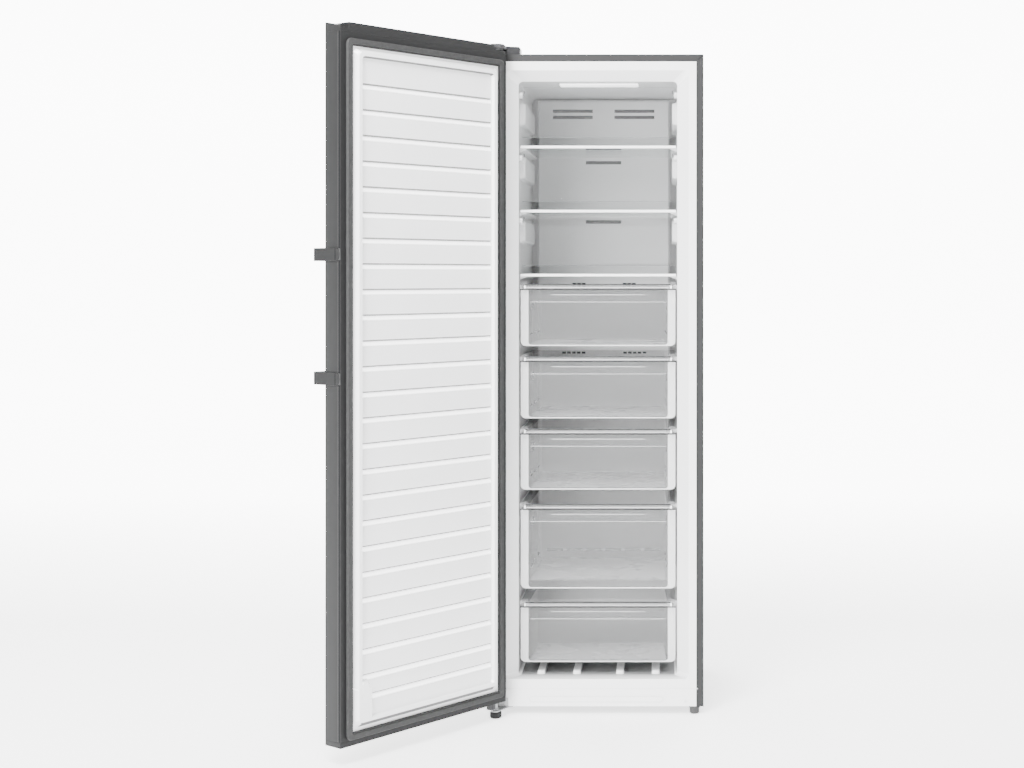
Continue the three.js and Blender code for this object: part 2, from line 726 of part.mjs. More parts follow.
// The can's outline grown by the clearance, cut from pipes that end on it.
function compressorHollow() {
  return rod("z", [...COMPRESSOR, 0], CAN_RADIUS + GAP, 60, 180, 24);
}

function filterDrier() {
  const y = CASE_DEPTH - 35;
  const body = turned("x", [-180, y, 130], [
    [0, -78], [3, -78], [3, -62], [11, -52], [11, 46], [3, 58], [3, 78], [0, 78],
  ], 10);
  const rising = bentRod([
    [-258, y, 130], [-268, y, 134], [-272, y, 150], [-272, y, 220], [-272, y, MACHINE_TOP - GAP],
  ], 3, 14, 6);
  const saddle = box(-190, -170, y - 9, y + 3, PAN_TOP, 128);
  return join(body, rising, saddle);
}

function compressorCover() {
  const half = CASE_HALF - PANEL_INSET;
  const plate = box(-half, half, CASE_DEPTH, CASE_DEPTH + SHEET, PAN_TOP - 1, MACHINE_TOP - 1);
  const slots = [-1, 1].flatMap((side) =>
    Array.from({ length: 9 }, (_, i) => {
      const z = 90 + 20 * i;
      const x0 = Math.min(side * 60, side * 250);
      return prism("y", CASE_DEPTH - 1, CASE_DEPTH + 3, roundRect(x0, x0 + 190, z - 3.5, z + 3.5, 3, 1));
    }),
  );
  const bead = prism("x", -half + 4.8, half - 4.8, [
    [CASE_DEPTH + 1, MACHINE_TOP - 18], [CASE_DEPTH + 3.5, MACHINE_TOP - 24],
    [CASE_DEPTH + 3.5, MACHINE_TOP - 28], [CASE_DEPTH + 1, MACHINE_TOP - 34],
  ]);
  return cut(join(plate, bead), slots);
}

// ---------------------------------------------------------------- hinges on the cabinet

// Plan points given as distances across from the hinge and back from the case's front.
function fromHinge(points) {
  return points.map(([x, y]) => [HINGE_X + x, y]);
}

// Plan points given as distances from the hinge in both directions.
function roundHinge(points) {
  return points.map(([x, y]) => [HINGE_X + x, HINGE_Y + y]);
}

function upperHingeBracket() {
  const plan = fromHinge([[-12, 6], [25.5, 6], [55.5, 19], [55.5, 60], [-12, 60]]);
  const foot = prism("z", CASE_TOP, CASE_TOP + 3, plan);
  const riser = prism("x", HINGE_X - 12, HINGE_X + 19.5, [
    [9, CASE_TOP], [6, CASE_TOP], [-3, CASE_TOP + 7], [-3, CASE_TOP + 10], [0, CASE_TOP + 10],
    [9, CASE_TOP + 3],
  ]);
  const arm = prism("z", CASE_TOP + 7, CASE_TOP + 10, [
    ...fromHinge([[-14.5, -1]]),
    ...roundHinge([[-14.5, -6.5], [-8.5, -13.5], [8.5, -13.5], [15.5, -6.5], [19.5, 15.5]]),
    ...fromHinge([[19.5, -1]]),
  ]);
  const end = CASE_TOP - PIN_ENTRY;
  const pin = turned("z", [HINGE_X, HINGE_Y, 0], [
    [0, end], [PIN_RADIUS - 1, end], [PIN_RADIUS, end + 1.5], [PIN_RADIUS, CASE_TOP + 12],
    [0, CASE_TOP + 12],
  ], 16);
  const screws = fromHinge([[-2.5, 26], [-2.5, 48], [43.5, 40]]).map(([x, y]) =>
    rod("z", [x, y, 0], 5.5, CASE_TOP + 2, CASE_TOP + 7, 6),
  );
  return join(foot, riser, arm, pin, screws);
}

// A lid over a plan outline whose top edge is drawn in to a second outline.
function lid(plan, inner, top) {
  return join(prism("z", CASE_TOP, top - 2.5, plan), prism("z", top - 3, top, inner));
}

function upperHingeCover() {
  const plan = fromHinge([
    [-15.5, 66], [-15.5, -47], [-9.5, -53], [15.5, -53], [25.5, -38], [27.5, 2], [63.5, 14], [63.5, 66],
  ]);
  const inner = fromHinge([
    [-13, 63.5], [-13, -46], [-8.5, -50.5], [14, -50.5], [23, -37], [25, 4], [61, 15.7], [61, 63.5],
  ]);
  const top = CASE_TOP + 23;
  const [left, right] = [HINGE_X - 17.5, HINGE_X + 66.5];
  return cut(
    lid(plan, inner, top),
    prism("z", CASE_TOP - 1, top - 4.5, inner),
    box(left, right, -60, 2, CASE_TOP - 1, CASE_TOP + 10),
    box(left, HINGE_X + 19.5 + GAP, -60, 9, CASE_TOP - 1, CASE_TOP + 10),
  );
}

function lowerHingeBracket() {
  const plate = prism("z", CASE_BOTTOM - 3, CASE_BOTTOM, fromHinge([
    [-15, 30], [-15, -34], [-10.5, -50], [-2.5, -55], [7.5, -52], [28.5, -7], [45.5, 2], [45.5, 30],
  ]));
  const pin = turned("z", [HINGE_X, HINGE_Y, CASE_BOTTOM], [
    [0, -1], [9, -1], [9, 4], [6, 5], [6, 19], [PIN_RADIUS, 20.5], [PIN_RADIUS, 33.5], [0, 34.5],
  ], 16);
  const screws = fromHinge([[-4.5, 12], [19.5, 18], [37.5, 18]]).map(([x, y]) =>
    rod("z", [x, y, 0], 5, CASE_BOTTOM - 6, CASE_BOTTOM - 2, 6),
  );
  const tab = box(HINGE_X + 19.5, HINGE_X + 31.5, -3, -0.8, CASE_BOTTOM - 2, CASE_BOTTOM + 24);
  return cut(join(plate, pin, screws, tab), footThread([HINGE_X, HINGE_Y], CASE_BOTTOM + 2));
}

// ---------------------------------------------------------------- inside fittings

function lightBar() {
  return loft("z", [
    { at: CAVITY_CEILING - 2.8, points: roundRect(-111, 111, 84, 153, 6, 3) },
    { at: CAVITY_CEILING - 1, points: roundRect(-113, 113, 81, 156, 7, 3) },
    { at: CAVITY_CEILING, points: roundRect(-113, 113, 81, 156, 7, 3) },
  ]);
}

function glassShelf(level) {
  return prism("z", level - GLASS, level, roundRect(-SHELF_HALF, SHELF_HALF, SHELF_FRONT, SHELF_BACK, 4, 2));
}

function shelfTrim(level) {
  return cut(
    prism("x", -SHELF_HALF, SHELF_HALF, [
      [SHELF_FRONT - 6, level - 5], [SHELF_FRONT - 5, level - 6.5], [SHELF_FRONT + 8, level - 6.5],
      [SHELF_FRONT + 8, level - GLASS], [SHELF_FRONT, level - GLASS], [SHELF_FRONT, level],
      [SHELF_FRONT + 3, level], [SHELF_FRONT + 3, level + 1], [SHELF_FRONT - 5, level + 1],
      [SHELF_FRONT - 6, level],
    ]),
    prism("z", level - GLASS, level, roundRect(-SHELF_HALF, SHELF_HALF, SHELF_FRONT, SHELF_BACK, 4, 2)),
  );
}

function flap({ bottom, top, pivot }) {
  const notch = 13;
  const outline = roundRect(-FLAP_HALF, FLAP_HALF, bottom, top, 4, 2);
  const plate = prism("y", FLAP_FRONT, FLAP_FRONT + FLAP_THICK, outline);
  const rail = prism("x", -FLAP_HALF + 4, FLAP_HALF - 4, [
    [FLAP_FRONT + 1, top - 17], [FLAP_FRONT - 1.5, top - 15], [FLAP_FRONT - 1.5, top - 2], [FLAP_FRONT, top],
    [FLAP_FRONT + 1, top],
  ]);
  const lip = prism("x", -FLAP_HALF + 4, FLAP_HALF - 4, [
    [FLAP_FRONT + 1, bottom], [FLAP_FRONT - 4, bottom + 1],
    [FLAP_FRONT - 4, bottom + 3], [FLAP_FRONT + 1, bottom + 9],
  ]);
  const notches = [-1, 1].map((side) =>
    sideBox(side, FLAP_HALF - 6, FLAP_HALF + 12, 30, 70, pivot - notch, pivot + notch),
  );
  const ears = [-1, 1].flatMap((side) => {
    const [near, far] = [side * (FLAP_HALF - 9), side * (FLAP_HALF - 6.5)];
    const ear = prism("x", Math.min(near, far), Math.max(near, far), [
      [FLAP_FRONT + 1, pivot - 16], [FLAP_FRONT + 6, pivot - 14], [PIVOT_Y + 6, pivot - 5],
      [PIVOT_Y + 6, pivot + 5], [FLAP_FRONT + 6, pivot + 12], [FLAP_FRONT + 1, pivot + 12],
    ]);
    const [root, tip] = [side * (FLAP_HALF - 7), side * (PIVOT_INNER + 5)];
    const pin = rod("x", [0, PIVOT_Y, pivot], PIVOT_RADIUS, Math.min(root, tip), Math.max(root, tip), 12);
    return [ear, pin];
  });
  return join(cut(join(plate, rail, lip), notches), ears);
}

function drawerBin({ bottom, top, back }, floor) {
  const rim = top + DRAWER_RIM;
  const section = (at, inset) => ({
    at,
    points: roundRect(-BIN_HALF + inset, BIN_HALF - inset, floor, rim + 20, BIN_RADIUS, 3),
  });
  const innerSection = (at, inset) => ({
    at,
    points: roundRect(
      -BIN_HALF + inset + BIN_WALL, BIN_HALF - inset - BIN_WALL, floor + BIN_WALL, rim + 30,
      BIN_RADIUS - BIN_WALL, 3,
    ),
  });
  const outer = loft("y", [section(DRAWER_FRONT, 0), section(back, BIN_TAPER)]);
  const inner = loft("y", [
    innerSection(DRAWER_FRONT + BIN_WALL, 0),
    innerSection(back - BIN_WALL, BIN_TAPER),
  ]);
  const rims = [-1, 1].map((side) =>
    sideBox(side, BIN_HALF - 7, CAVITY_HALF - 5.5, DRAWER_FRONT, back, rim - 3, rim),
  );
  const deep = back === BIN_BACK;
  const windows = deep ? [[130, 190, rim - 75, rim - 51, 3]] : [];
  const vents = deep ? [100, 205, 310].map((y) => [y, y + 38, floor + 27, floor + 32, 1.5]) : [];
  const holes = [...windows, ...vents].map((corners) =>
    prism("x", -BIN_HALF - 5, BIN_HALF + 5, roundRect(...corners, 1)),
  );
  return cut(join(outer, rims), inner, box(-300, 300, 0, CASE_DEPTH, rim, rim + 60), holes);
}

function drawerFront({ bottom, top }) {
  const half = DRAWER_FRONT_HALF;
  const outline = (inset, height) => {
    const corners = roundRect(
      -half + inset, half - inset, bottom + inset, height + 60, DRAWER_CORNER - inset, 4,
    );
    return [...corners.slice(15), ...corners.slice(0, 5), [half - inset, height], [-half + inset, height]];
  };
  const tray = prism("y", DRAWER_FRONT - 3, DRAWER_FRONT + DRAWER_LIP, outline(0, top));
  const plate = cut(tray, prism("y", DRAWER_FRONT, DRAWER_FRONT + DRAWER_LIP + 1, outline(2, top + 1)));
  const band = prism("x", -half, half, [
    [DRAWER_FRONT, top - 1], [DRAWER_FRONT - 3, top - 1], [DRAWER_FRONT - 9, top + 4],
    [DRAWER_FRONT - 10, top + 9], [DRAWER_FRONT - 8, top + DRAWER_RIM], [DRAWER_FRONT, top + DRAWER_RIM],
  ]);
  const clips = [-1, 1].map((side) =>
    prism("y", DRAWER_FRONT - 5, DRAWER_FRONT, [
      [side * half, top + 5], [side * (half - 3), top + 20], [side * (half - 8), top + 22],
      [side * (half - 20), top + 22], [side * (half - 26), top + 12], [side * (half - 26), top + 5],
    ]),
  );
  const ribs = [-1, 1].map((side) =>
    sideBox(side, BIN_HALF - 2, BIN_HALF, DRAWER_FRONT - 4.5, DRAWER_FRONT - 2, bottom + 12, top),
  );
  return join(plate, band, clips, ribs);
}

// ---------------------------------------------------------------- door, drawn shut and turned at the end

const DOOR_FRONT = DOOR_BACK - DOOR_THICK;
const SKIN = 1;
const SEAT = 0.1; // clearance of faces that seat on each other in the turned door
const DOOR_CORNER = 3; // rounded upright edges of the door
const CAP_TOP = 24; // height of the upper end cap
const CAP_LOW = 14;
const NOTCH = 13.6; // depth of the hinge notch in the top cap
const NOTCH_LENGTH = 47;
const BLANK_LENGTH = 28; // of the blanked notch at the free end
const LINER_HALF = DOOR_HALF - 34.5; // the door's liner inside the gasket
const LINER_LOW = DOOR_BOTTOM + 35.6;
const LINER_HIGH = DOOR_TOP - 59.6;
const WINDOW_HALF = DOOR_HALF - 26; // opening in the skin's return, covered by the gasket
const WINDOW_MARGIN = 10; // from the liner's rim to the edge of that opening
const GASKET_OUTER = DOOR_HALF - 13.5;
const GASKET_INNER = DOOR_HALF - 30.5;
const BUSH_RADIUS = 7;

// The door's plan outline with rounded front edges, drawn in by a distance.
function doorPlan(inset, back = DOOR_BACK) {
  const half = DOOR_HALF - inset;
  const front = DOOR_FRONT + inset;
  const radius = DOOR_CORNER - inset;
  const arc = (centre, from) =>
    Array.from({ length: 4 }, (_, i) => {
      const angle = THREE.MathUtils.degToRad(from + 30 * i);
      return [centre + radius * Math.cos(angle), front + radius + radius * Math.sin(angle)];
    });
  return [[half, back], [-half, back], ...arc(-half + radius, 180), ...arc(half - radius, 270)];
}

// The block that the opening in the skin's return takes, drawn in by a distance.
function doorWindow(inset, y0, y1) {
  const half = WINDOW_HALF - inset;
  return box(-half, half, y0, y1, LINER_LOW - WINDOW_MARGIN + inset, LINER_HIGH + WINDOW_MARGIN - inset);
}

function doorOuterSkin() {
  const z0 = DOOR_BOTTOM + CAP_LOW;
  const z1 = DOOR_TOP - CAP_TOP;
  const shell = prism("z", z0, z1, doorPlan(0));
  const hollow = prism("z", z0 - 1, z1 + 1, doorPlan(SKIN, DOOR_BACK - SKIN));
  return cut(shell, hollow, doorWindow(0, DOOR_BACK - 3, DOOR_BACK + 1));
}

function doorFoam() {
  const z0 = DOOR_BOTTOM + CAP_LOW + GAP;
  const z1 = DOOR_TOP - CAP_TOP - GAP;
  return prism("z", z0, z1, doorPlan(SKIN + GAP, DOOR_BACK - SKIN - GAP));
}

// The upper or lower end cap: a shallow tray that closes the skin and carries a hinge bush.
function doorCap(z0, z1, notched) {
  const full = prism("z", z0, z1, doorPlan(0));
  if (!notched) {
    return cut(full, rod("z", [HINGE_X, HINGE_Y, 0], BUSH_RADIUS + GAP, z0 - 1, z1 - 0.5));
  }
  const floor = z1 - NOTCH;
  const notch = prism("y", DOOR_FRONT - 1, DOOR_BACK + 1, [
    [-DOOR_HALF - 1, floor], [NOTCH_LENGTH - 6 - DOOR_HALF, floor],
    [NOTCH_LENGTH + 2 - DOOR_HALF, z1 + 1], [-DOOR_HALF - 1, z1 + 1],
  ]);
  const slope = prism("x", DOOR_HALF - BLANK_LENGTH, DOOR_HALF + 1, [
    [DOOR_FRONT + 8, z1 + 1], [DOOR_FRONT + 8, z1], [DOOR_BACK + 1, z1 - 12.6], [DOOR_BACK + 1, z1 + 1],
  ]);
  const pocket = box(DOOR_HALF - BLANK_LENGTH, DOOR_HALF - 3, DOOR_BACK - 22, DOOR_BACK + 1, floor, z1 + 1);
  return cut(full, notch, slope, pocket, rod("z", [HINGE_X, HINGE_Y, 0], BUSH_RADIUS + GAP, z0 - 1, z1));
}

const PANEL = -4; // face of the planks
const CREST = 4; // raised frame round them
const RECESS_HALF = DOOR_HALF - 63.5; // the sunk field of planks

// One plank groove of the liner: a steep upper wall and a ramp back out below it.
function groove(z) {
  return prism("x", 2 - RECESS_HALF, RECESS_HALF - 2, [
    [PANEL + 0.5, z + 2.2], [PANEL, z + 1.8], [PANEL - GROOVE_DEPTH, z - 1.6],
    [PANEL - GROOVE_DEPTH, z - 3], [PANEL, z - GROOVE_HEIGHT], [PANEL + 0.5, z - GROOVE_HEIGHT],
  ]);
}

// The moulded block with slanted faces in the lower corner at the free edge, and the dashes on it.
function cornerBlock() {
  const section = (at, points) => ({
    at,
    points: points.map(([x, z]) => [RECESS_HALF + x, LINER_LOW + z]),
  });
  const block = loft("y", [
    section(DOOR_BACK + 1, [
      [-33, 15], [-29, 10], [17, 10], [26, 19], [26, 108], [3, 129], [-19, 129], [-33, 98],
    ]),
    section(-1.5, [
      [-31, 21], [-27, 18], [12, 18], [20, 26], [20, 105], [2, 125], [-17, 125], [-31, 96],
    ]),
    section(CREST, [
      [-28, 25], [-24, 22], [8, 22], [14, 28], [14, 102], [0, 120], [-14, 120], [-28, 93],
    ]),
  ]);
  const dashes = [85, 70, 56, 42.5].map((z) => {
    const middle = LINER_LOW + z;
    const outline = roundRect(RECESS_HALF - 18, RECESS_HALF + 5, middle - 1.8, middle + 1.8, 1.2, 1);
    return prism("y", CREST - 0.5, CREST + 0.8, outline);
  });
  return [block, ...dashes];
}

function doorLiner() {
  const sheet = doorWindow(GAP, DOOR_BACK - SKIN, DOOR_BACK);
  const rim = box(-LINER_HALF, LINER_HALF, DOOR_BACK - SKIN, DOOR_BACK + 2, LINER_LOW, LINER_HIGH);
  const band = (at, inset, low, high, radius) => ({
    at,
    points: roundRect(-LINER_HALF + inset, LINER_HALF - inset, LINER_LOW + low, LINER_HIGH - high, radius),
  });
  const frame = loft("y", [
    band(DOOR_BACK + 1, 4, 8, 4, 16),
    band(CREST - 3, 12, 18, 12, 13),
    band(CREST, 15, 20, 15, 12),
  ]);
  const recess = loft("y", [
    band(PANEL, 29, 31, 27, 9),
    band(CREST + 0.5, 25, 28, 23, 10),
  ]);
  const grooves = Array.from({ length: GROOVES }, (_, i) => groove(GROOVE_TOP - GROOVE_PITCH * i));
  grooves.push(groove(GROOVE_LAST));
  return join(cut(join(sheet, rim, frame), recess, grooves), cornerBlock());
}

// A square ring between two rounded rectangles with a profile of [depth, outer, inner] steps.
function ring(steps, bottom, top, radius) {
  const outer = loft("y", steps.map(([y, out]) => ({
    at: y, points: roundRect(-out, out, bottom - out, top + out, radius),
  })));
  const inner = loft("y", steps.map(([y, , hole], i) => ({
    at: i === 0 ? y - 1 : i === steps.length - 1 ? y + 1 : y,
    points: roundRect(-hole, hole, bottom - hole, top + hole, radius - 6),
  })));
  return outer.subtract(inner);
}

function doorGasket() {
  const steps = [
    [DOOR_BACK + SEAT, GASKET_OUTER - 4, GASKET_INNER],
    [DOOR_BACK + 2.5, GASKET_OUTER - 5, GASKET_INNER + 1],
    [DOOR_BACK + 3.5, GASKET_OUTER - 3, GASKET_INNER - 1],
    [DOOR_BACK + 8, GASKET_OUTER - 2, GASKET_INNER],
    [-GAP, GASKET_OUTER - 4, GASKET_INNER + 2],
  ];
  return ring(steps, LINER_LOW + LINER_HALF, LINER_HIGH - LINER_HALF, 12);
}

function hingeBush(from, to, up) {
  const flange = up ? [to, to + 1.8] : [from - 1.8, from];
  const [x, y] = [HINGE_X, HINGE_Y];
  return cut(
    rod("z", [x, y, 0], BUSH_RADIUS, from, to, 16).add(rod("z", [x, y, 0], 9, flange[0], flange[1], 16)),
    rod("z", [x, y, 0], PIN_RADIUS + GAP, up ? from + 2 : from - 3, up ? to + 3 : to - 2, 16),
  );
}

function doorStop() {
  const [x, y] = [HINGE_X, HINGE_Y];
  return prism("z", CASE_BOTTOM + 6, DOOR_BOTTOM, [
    [x + 11, y - 9], [x + 24, y - 12], [x + 32, y - 4], [x + 32, y + 8], [x + 22, y + 13], [x + 11, y + 9],
  ]);
}

// A bracket wrapped round the door's free upright edge.
function handleBracket(level) {
  const [low, high] = [level - HANDLE_BRACKET / 2, level + HANDLE_BRACKET / 2];
  const front = DOOR_FRONT - HANDLE_REACH;
  const plate = prism("x", DOOR_HALF + SEAT, DOOR_HALF + 3.5, [
    [front + 3, low], [DOOR_BACK - 10, low], [DOOR_BACK - 4, low + 5], [DOOR_BACK - 1, level],
    [DOOR_BACK - 4, high - 5], [DOOR_BACK - 10, high], [front + 3, high], [front, high - 4],
    [front, low + 4],
  ]);
  const arm = cut(
    box(DOOR_HALF - 58, DOOR_HALF + 3.5, front, DOOR_FRONT - SEAT, low, high),
    box(DOOR_HALF - 70, DOOR_HALF + SEAT, front + 12, DOOR_FRONT + 1, low - 1, high + 1),
  );
  const root = box(DOOR_HALF - 58, DOOR_HALF - 34, front + 5, DOOR_FRONT - SEAT, low, high);
  return join(plate, arm, root);
}

function handleBar() {
  const half = HANDLE_BRACKET / 2;
  const plan = [[-58, 2], [-52, -3], [-38, -3], [-32, 2], [-32, 10], [-38, 15], [-52, 15], [-58, 10]].map(
    ([x, y]) => [DOOR_HALF + x, DOOR_FRONT - HANDLE_REACH + y],
  );
  return prism("z", HANDLE_LEVELS[0] + half, HANDLE_LEVELS[1] - half, plan);
}

// ---------------------------------------------------------------- assembly

const M = MATERIALS;
piece("outer_case", outerCase(), M.greySteel);
piece("rear_panel", rearPanel(), M.zincSteel);
piece("insulation_foam", insulationFoam(), M.foam);
piece("inner_liner", innerLiner(), M.whitePlastic);
piece("base_pan", basePan(), M.zincSteel);
piece("front_rail", frontRail(), M.zincSteel);
piece("kick_panel", kickPanel(), M.whitePlastic);
piece("evaporator_cover", evaporatorCover(), M.whitePlastic);
piece("evaporator", evaporator(), M.aluminium);
piece("defrost_heater", defrostHeater(), M.zincSteel);
piece("fan_housing", fanHousing(), M.blackPlastic);
piece("fan_motor", fanMotor(), M.zincSteel);
piece("fan_blade", fanBlade(), M.whitePlastic);
piece("drain_tube", drainTube(), M.blackPlastic);
piece("evaporation_tray", evaporationTray(), M.blackPlastic);
piece("compressor", compressor(), M.blackSteel);
piece("relay_box", relayBox(), M.blackPlastic);
piece("filter_drier", filterDrier(), M.copper);
piece("discharge_pipe", dischargePipe(), M.copper);
piece("suction_pipe", suctionPipe(), M.copper);
piece("compressor_cover", compressorCover(), M.zincSteel);
piece("light_bar", lightBar(), M.whitePlastic);
SHELF_LEVELS.forEach((level, i) => {
  piece(`glass_shelf_${i + 1}`, glassShelf(level), M.glass);
  piece(`shelf_trim_${i + 1}`, shelfTrim(level), M.whitePlastic);
});
FLAPS.forEach((sizes, i) => piece(`flap_${i + 1}`, flap(sizes), M.clearPlastic));
DRAWERS.forEach((sizes, i) => {
  const floor = i === 3 ? STEP_TOP + 6 : sizes.bottom + 6;
  piece(`drawer_${i + 1}_bin`, drawerBin(sizes, floor), M.clearPlastic);
  piece(`drawer_${i + 1}_front`, drawerFront(sizes), M.clearPlastic);
});
piece("upper_hinge_bracket", upperHingeBracket(), M.zincSteel);
piece("upper_hinge_cover", upperHingeCover(), M.blackPlastic);
piece("lower_hinge_bracket", lowerHingeBracket(), M.zincSteel);
piece("roller_left", roller(-1), M.blackPlastic);
piece("roller_right", roller(1), M.blackPlastic);
piece("foot_left", footLeft(), M.blackPlastic);
piece("foot_right", footRight(), M.blackPlastic);

const shut = new THREE.Group();
const notchFloor = DOOR_TOP - NOTCH;
piece("door_outer_skin", doorOuterSkin(), M.greySteel, shut);
piece("door_foam", doorFoam(), M.foam, shut);
piece("door_liner", doorLiner(), M.whitePlastic, shut);
piece("door_gasket", doorGasket(), M.rubber, shut);
piece("door_top_cap", doorCap(DOOR_TOP - CAP_TOP, DOOR_TOP, true), M.blackPlastic, shut);
piece("door_bottom_cap", doorCap(DOOR_BOTTOM, DOOR_BOTTOM + CAP_LOW, false), M.blackPlastic, shut);
piece("hinge_bush_upper", hingeBush(notchFloor - 10, notchFloor, true), M.whitePlastic, shut);
piece("hinge_bush_lower", hingeBush(DOOR_BOTTOM, DOOR_BOTTOM + 13, false), M.whitePlastic, shut);
piece("door_stop", doorStop(), M.blackPlastic, shut);
piece("handle_bracket_lower", handleBracket(HANDLE_LEVELS[0]), M.greySteel, shut);
piece("handle_bracket_upper", handleBracket(HANDLE_LEVELS[1]), M.greySteel, shut);
piece("handle_bar", handleBar(), M.greySteel, shut);
shut.position.set(-HINGE_X, -HINGE_Y, 0);

const door = new THREE.Group();
door.name = "door";
door.add(shut);
door.rotation.z = THREE.MathUtils.degToRad(-DOOR_OPEN);
door.position.set(HINGE_X, HINGE_Y, 0);
freezer.add(door);

freezer.updateMatrixWorld(true);
const bounds = new THREE.Box3().setFromObject(freezer, true);
freezer.position.set(-(bounds.min.x + bounds.max.x) / 2, -(bounds.min.y + bounds.max.y) / 2, -bounds.min.z);

export default freezer;
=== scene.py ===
"""Looks of the upright freezer: finishes for every solid, rounded and detailed pieces, studio and camera."""

import logging
import math
from dataclasses import dataclass
from enum import Enum
from typing import Any, Callable, ClassVar, Sequence

import bmesh
import bpy
from mathutils import Matrix, Vector


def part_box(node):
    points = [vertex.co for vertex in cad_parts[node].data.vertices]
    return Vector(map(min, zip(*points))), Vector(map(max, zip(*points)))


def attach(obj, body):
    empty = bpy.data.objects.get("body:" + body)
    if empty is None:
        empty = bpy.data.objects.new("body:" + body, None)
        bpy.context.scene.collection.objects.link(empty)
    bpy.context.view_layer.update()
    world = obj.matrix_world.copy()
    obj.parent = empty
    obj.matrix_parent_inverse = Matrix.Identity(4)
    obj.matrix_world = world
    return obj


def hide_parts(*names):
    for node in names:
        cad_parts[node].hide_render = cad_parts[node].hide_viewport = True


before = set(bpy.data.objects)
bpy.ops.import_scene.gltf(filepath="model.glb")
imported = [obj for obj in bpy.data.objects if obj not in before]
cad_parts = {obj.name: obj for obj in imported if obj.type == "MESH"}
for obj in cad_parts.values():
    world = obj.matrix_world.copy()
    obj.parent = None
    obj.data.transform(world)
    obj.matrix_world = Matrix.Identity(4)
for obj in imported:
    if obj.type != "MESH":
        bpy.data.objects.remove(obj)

log = logging.getLogger("freezer")

Colour = tuple[float, float, float]
Point = tuple[float, float, float]
Stretch = tuple[float, float, float]
Chooser = Callable[[Vector, Vector, float], bool]

PER_METRE = 1000.0
# What is added to the cabinet's own X and Y, in millimetres, to reach the part's frame.
SHIFT = (201.517, -38.875)
# The hinge pin in the cabinet's millimetres, and how far the door is turned about it in the photograph.
HINGE = (-281.5, -35.5)
DOOR_TURN = math.radians(-128.4)
SIDES = ((-1, "left"), (1, "right"))
# A face looks along an axis when this much of its normal does.
FACING = 0.9
EVEN: Stretch = (1.0, 1.0, 1.0)


# -------------------------------------------- shader tools


class Flow:
    """A number or colour that runs between shader nodes and takes part in Python expressions."""

    def __init__(self, shader: "Shader", socket: bpy.types.NodeSocket) -> None:
        """Wraps one output socket of a shader's node tree."""
        self.shader = shader
        self.socket = socket

    def __add__(self, other: "Flow | float") -> "Flow":
        """Returns the sum."""
        return self.shader.math("ADD", self, other)

    def __mul__(self, other: "Flow | float") -> "Flow":
        """Returns the product."""
        return self.shader.math("MULTIPLY", self, other)

    def clamped(self) -> "Flow":
        """Returns the value held between 0 and 1."""
        return self.shader.math("MINIMUM", self.shader.math("MAXIMUM", self, 0.0), 1.0)


